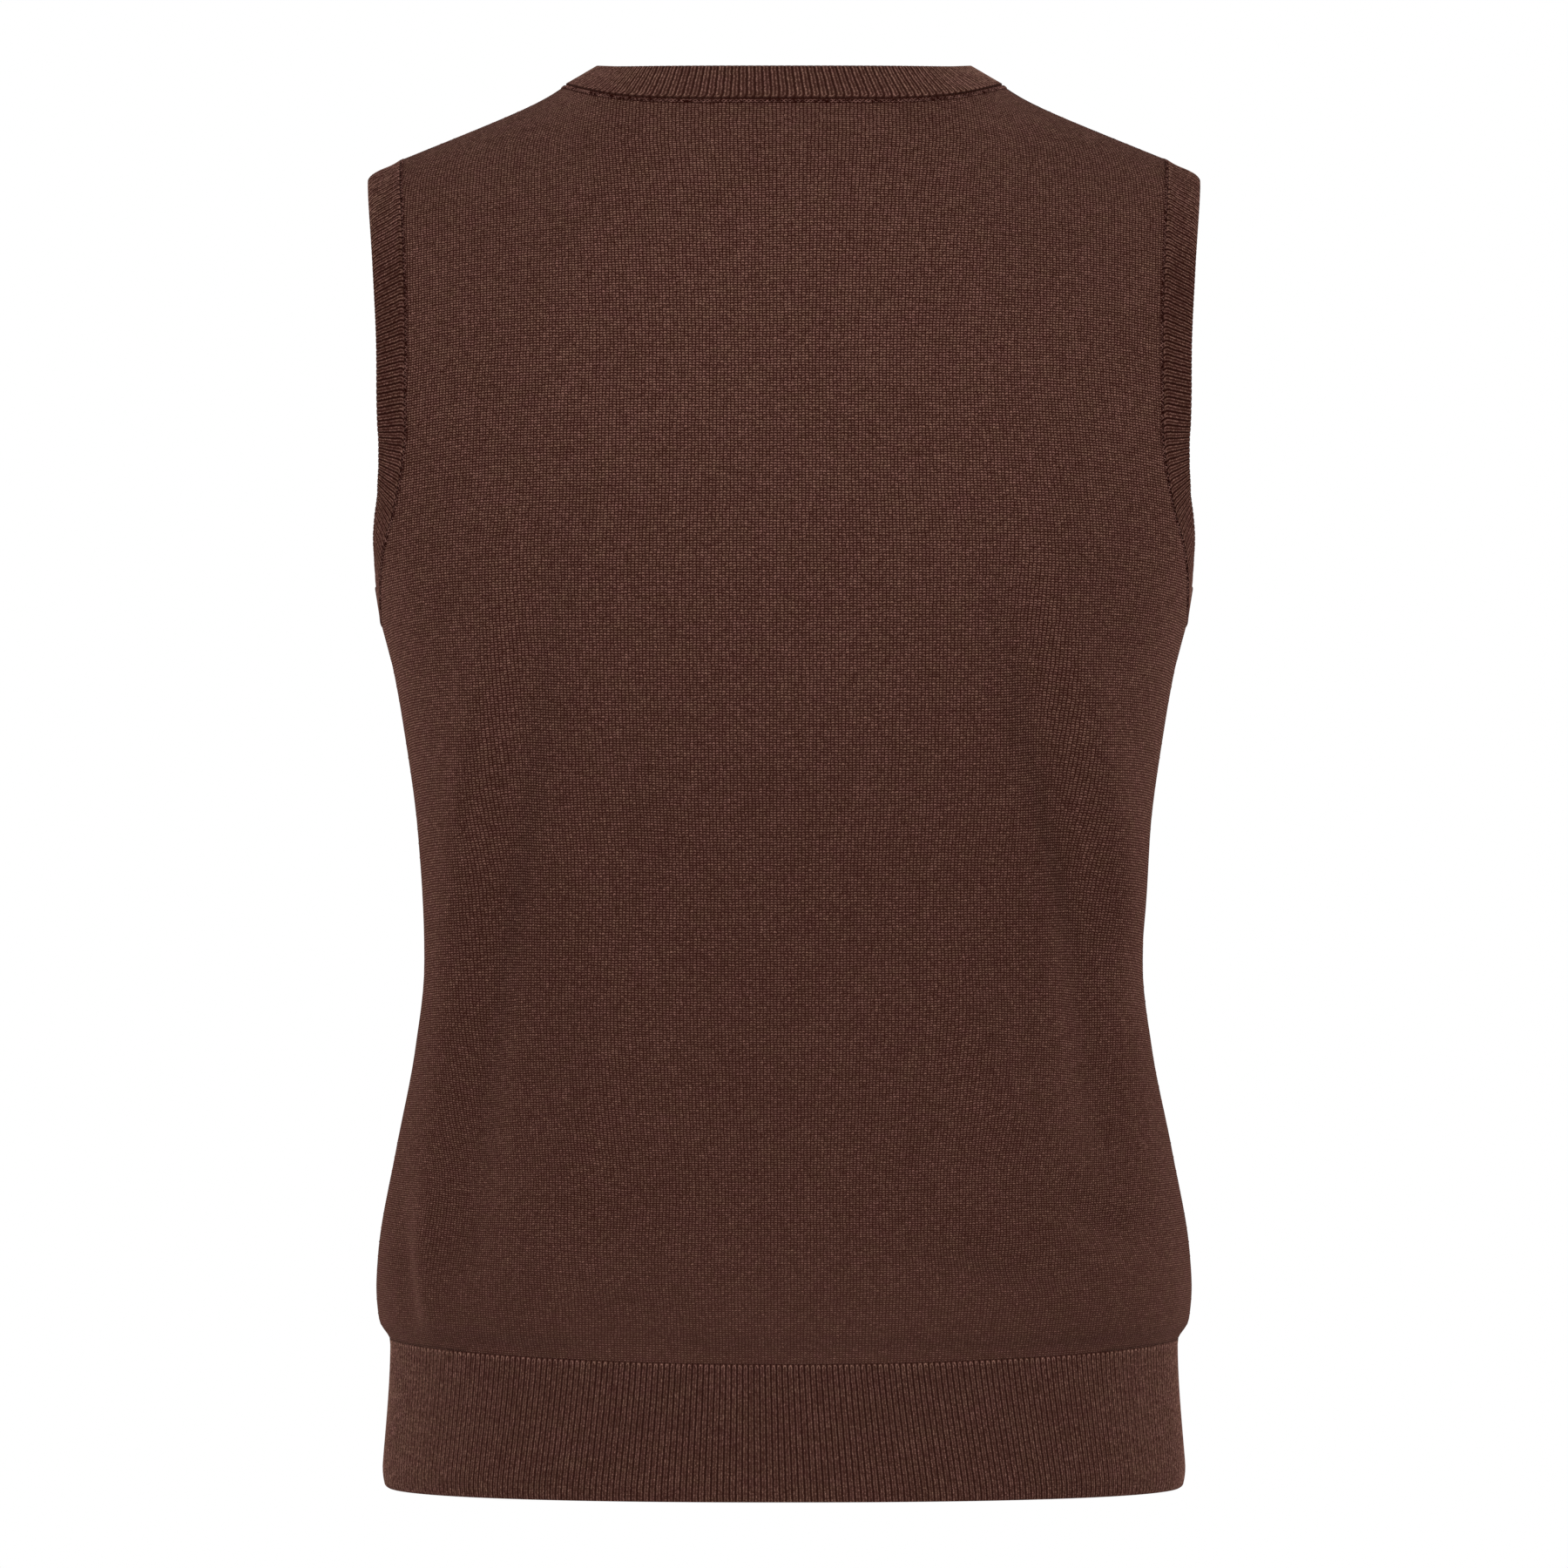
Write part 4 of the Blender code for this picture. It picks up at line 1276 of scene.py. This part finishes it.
# %% The armbands
ARMBAND_WIDTH = 0.0160
ARMBAND_TURNS = (  # drop, how far the band is turned outwards and downwards
    (0.030, 0.18, 0.30),
    (0.060, 0.13, 0.20),
    (0.100, 0.00, 0.05),
    (0.140, -0.10, 0.00),
    (0.160, -0.25, 0.00),
    (0.176, -0.31, 0.00),
    (0.200, -0.31, 0.00),
    (0.2175, -0.20, 0.00),
)
ARMBAND_HANG = (  # drop, how far a rib's free end hangs below its foot, its hook, and the bulge
    (0.030, 0.0026, 0.0012, 0.0014),
    (0.060, 0.0016, 0.0012, 0.0012),
    (0.080, 0.0014, 0.0012, 0.0008),
    (0.100, 0.0014, 0.0012, 0.0004),
    (0.140, 0.0014, 0.0010, 0.0000),
    (0.170, 0.0010, 0.0008, 0.0000),
    (0.215, 0.0000, 0.0000, 0.0000),
)


SHOULDER_TURN = 0.012  # distance from the shoulder seam over which down changes from back to front


def armband_direction(points, away):
    """The way the band grows: in the panel's direction, turned out and down by the table."""
    drop, opening, falling = np.array(ARMBAND_TURNS).T
    outward = np.interp(-points[:, 2], drop, opening) * np.sign(points[:, 0])
    down = np.interp(-points[:, 2], drop, falling)
    return unit(away + np.stack([outward, np.zeros(len(points)), -down], 1))


def hanging(points, column, left):
    """A size from the table, as a distance along the edge towards its lower end."""
    table = np.array(ARMBAND_HANG).T
    size = np.interp(-points[:, 2], table[0], table[column])
    going_down = np.tanh(points[:, 1] / SHOULDER_TURN) * (-1 if left else 1)
    return size * going_down


armbands = {}
for left, name in ((True, "armband_left"), (False, "armband_right")):
    armbands[name] = linked_band(
        name + "_shell", arm_out[left], arm_in[left], ARMBAND_WIDTH, ARMBAND_RIBS, arm_rib,
        direction=armband_direction,
        trail=lambda points, left=left: hanging(points, 1, left),
        hook=lambda points, left=left: -hanging(points, 2, left),
        bulge=lambda points: np.interp(-points[:, 2], *np.array(ARMBAND_HANG).T[[0, 3]]),
        mitre=0,
    )
    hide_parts(name)

# %% [markdown]
# ## The linking
# The bands are joined on by a chain of thread, which shows as a fine zigzag in the seam. Round the
# neck it has one link for each rib: two strands cross to and fro over the seam in opposite time, so
# that they make a row of small diamonds. Round the armholes one strand shows, in shorter links.
# Each strand is a curve with a round bevel, turned into a mesh. Painted shade darkens it here
# and there, so the thread comes and goes. The same thread closes the shoulder and side seams.

# %% Linking thread
THREAD_GRAIN = 620.0  # changes of shade in a metre
THREAD_DARK = 0.38  # noise below this shows the painted gap shade
THREAD_CONTRAST = 3.2


def thread_cloth():
    """Yarn with painted shade in patches, so the thread comes and goes."""
    material = matt_yarn("linking_thread")
    tree = material.node_tree
    start = Value(tree, None)
    place = start.node("ShaderNodeTexCoord", {}, {}, output="Object")
    mottle = place.node(
        "ShaderNodeTexNoise", {}, {"Vector": place, "Scale": THREAD_GRAIN, "Detail": 3.0}
    )
    # painted shade in patches along the thread
    colour = ((mottle - THREAD_DARK) * THREAD_CONTRAST).blend(GAP_SHADE, RED_YARN_LIT)
    tree.links.new(colour.socket, tree.nodes["Principled BSDF"].inputs["Base Color"])
    return material


linking_thread = thread_cloth()


# %% Strands that cross to and fro over a seam
LINK_STEPS = 8  # points in each link
CROSSING = 0.35  # how far strands pass over and under each other, as a share of their thickness


def linking(name, path, normals, aside, links, half, thick, lift, strands=(1, -1)):
    """aside is the way across the seam, half how far a strand swings to each side of it, lift how
    far it lies above the path, and strands has each one's first turn, to one side or the other."""
    count = links * LINK_STEPS + 1
    places = np.linspace(0, 1, count)
    length = measured(path)

    def even(values):
        return np.stack([np.interp(places * length[-1], length, values[:, k]) for k in range(3)], 1)

    line, up, across = even(path), unit(even(normals)), unit(even(aside))
    swing = places * links * 2 * math.pi
    curve = bpy.data.curves.new(name, "CURVE")
    curve.dimensions = "3D"
    curve.bevel_depth = thick / 2
    curve.bevel_resolution = 1
    curve.use_fill_caps = True
    for turn in strands:
        sway = half * np.sin(swing)[:, None] * turn
        over = lift + thick * CROSSING * np.cos(swing)[:, None] * turn
        points = line + sway * across + over * up
        strand = curve.splines.new("POLY")
        strand.points.add(count - 1)
        strand.points.foreach_set("co", np.column_stack([points, np.ones(count)]).ravel())
    piece = bpy.data.objects.new(name, curve)
    bpy.context.scene.collection.objects.link(piece)
    bpy.ops.object.select_all(action="DESELECT")
    bpy.context.view_layer.objects.active = piece
    piece.select_set(True)
    bpy.ops.object.convert(target="MESH")
    piece = bpy.context.object
    piece.data.materials.append(linking_thread)
    bpy.ops.object.shade_smooth()
    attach(piece, "root")
    print(name, "has", links, "links and", 2 * len(piece.data.polygons), "triangles")


# %% The linking of the neck and the armholes
ARMHOLE_LINKS = 310


def link_edge(name, edge_out, edge_in, links, inset, **thread):
    """Linking along an edge, a small inset away from it. The rest is as in linking."""
    normals = unit(edge_out - edge_in)
    forward = unit(np.gradient(edge_out, axis=0))
    away = unit(np.cross(normals, forward))
    linking(name, edge_out - inset * away, normals, away, links, **thread)


link_edge(
    "neck_linking", neck_out, neck_in, NECKBAND_RIBS, inset=0.0016,
    half=0.00070, thick=0.00038, lift=0.00016,
)
for left, name in ((True, "armband_left_linking"), (False, "armband_right_linking")):
    link_edge(
        name, arm_out[left], arm_in[left], ARMHOLE_LINKS, inset=0.0003,
        half=0.00060, thick=0.00034, lift=0.00010, strands=(1,),
    )

# %% [markdown]
# ## Shoulder and side seams
# The panels are sewn together along the shoulders and down the sides, with their edges turned in.
# From outside only a fine ladder of thread shows in the joint. On the wrong side the turned-in
# edges are whipped over into a soft roll, which closes the joint. It is a curve with a round bevel,
# as the threads are, and the side seams' rolls run on down to the rim of the welt.

# %% The ladder of thread and the roll of turned-in edges
ROLL_THICK = 0.0024
ROLL_SUNK = 0.0017  # how far the middle of the roll lies below the right side
INSIDE = np.array([0, 0, -0.30])  # a point inside the form, to tell a seam's two sides apart


def seam(name, back_points, front_points, links):
    """A ladder of thread in the joint of two edges, and the roll behind it."""
    path = (back_points + front_points) / 2
    forward = unit(np.gradient(path, axis=0))
    aside = np.zeros_like(path)
    aside[:, 1] = 1
    normals = unit(np.cross(forward, aside))
    outward = path - INSIDE
    normals *= np.sign((normals * outward).sum(-1, keepdims=True))
    linking(name, path, normals, aside, links, half=0.00045, thick=0.00034, lift=-0.00005)
    linking(
        name + "_roll", path, normals, aside, links // 4,
        half=0.00010, thick=ROLL_THICK, lift=-ROLL_SUNK, strands=(1,),
    )


# %% The side seams, from the rim up through the closed armband
SIDE_LINKS = 253
SIDE_STEPS = 250
RIM_COUNT = len(RIM_ROWS) - 1
TUCKED_ROWS = 2  # the welt's uppermost rows, which the panel's own points take over from
BAND_MARGIN = 0.0010  # the seam keeps this far from both edges of the armband
UP = np.array([[0.0, 0.0, 1.0]])


def side_points(welt_points, panel_points, column):
    """A panel's points along a side seam, from the welt's rim up to the armband's free edge."""
    top = panel_points[UNDERARM_ROW, column]
    heights = np.linspace(BAND_MARGIN, ARMBAND_WIDTH - BAND_MARGIN, 8)[:, None]
    closed = top + heights * armband_direction(top[None], UP)
    below = welt_points[RIM_COUNT:-TUCKED_ROWS, column]
    rising = np.concatenate([below, panel_points[: UNDERARM_ROW + 1, column], closed])
    return divided(rising, np.linspace(0, 1, SIDE_STEPS))


for name, back_column, front_column in (("side_seam_left", 0, -1), ("side_seam_right", -1, 0)):
    seam(
        name,
        side_points(welt_back, back_out, back_column),
        side_points(welt_front, front_out, front_column),
        SIDE_LINKS,
    )


# %% The shoulder seams
SHOULDER_LINKS = 52
SHOULDER_STEPS = 41


def shoulder_points(points, side, left):
    """A panel's points along a shoulder seam, from the armhole to the neck."""
    corner = SHOULDER_COLUMNS[side]
    from_left = (side == BACK) == left
    edge = points[-1, : corner + 1] if from_left else points[-1, COLUMNS - corner :][::-1]
    return divided(edge, np.linspace(0, 1, SHOULDER_STEPS))


for left, name in ((True, "shoulder_seam_left"), (False, "shoulder_seam_right")):
    back_points = shoulder_points(back_out, BACK, left)
    front_points = shoulder_points(front_out, FRONT, left)
    seam(name, back_points, front_points, SHOULDER_LINKS)

# %% [markdown]
# ## What each piece of cloth was before it was worn
# A maker cuts or shapes each piece flat. These are the sizes of those flat pieces, with the area of
# each where it isn't a rectangle, and how each one is held now.

# %% The flat pieces
SHOULDERS = ["shoulder_seam_left", "shoulder_seam_right"]
PANELS = ["back_shell", "front_shell"]
CLOTH = (  # piece, slot, flat width and length, flat area, how it is held, what it rests on
    (back_shell, "jersey", (0.420, 0.530), 0.196, "hung", SHOULDERS),
    (front_shell, "jersey", (0.430, 0.530), 0.180, "hung", SHOULDERS),
    (hem_rib_back_shell, "rib", (0.480, 0.055), None, "hung", ["back_shell"]),
    (hem_rib_front_shell, "rib", (0.470, 0.055), None, "hung", ["front_shell"]),
    (neckband_shell, "rib", (0.720, 0.0155), None, "stretched", PANELS),
    (armbands["armband_left"], "rib", (0.500, 0.016), None, "stretched", PANELS),
    (armbands["armband_right"], "rib", (0.500, 0.016), None, "stretched", PANELS),
)
for piece, slot, flat, area, held, rests_on in CLOTH:
    faces = np.empty(len(piece.data.polygons))
    piece.data.polygons.foreach_get("area", faces)
    print(piece.name, "both sides", round(float(faces.sum()), 4), "m2, flat", flat)
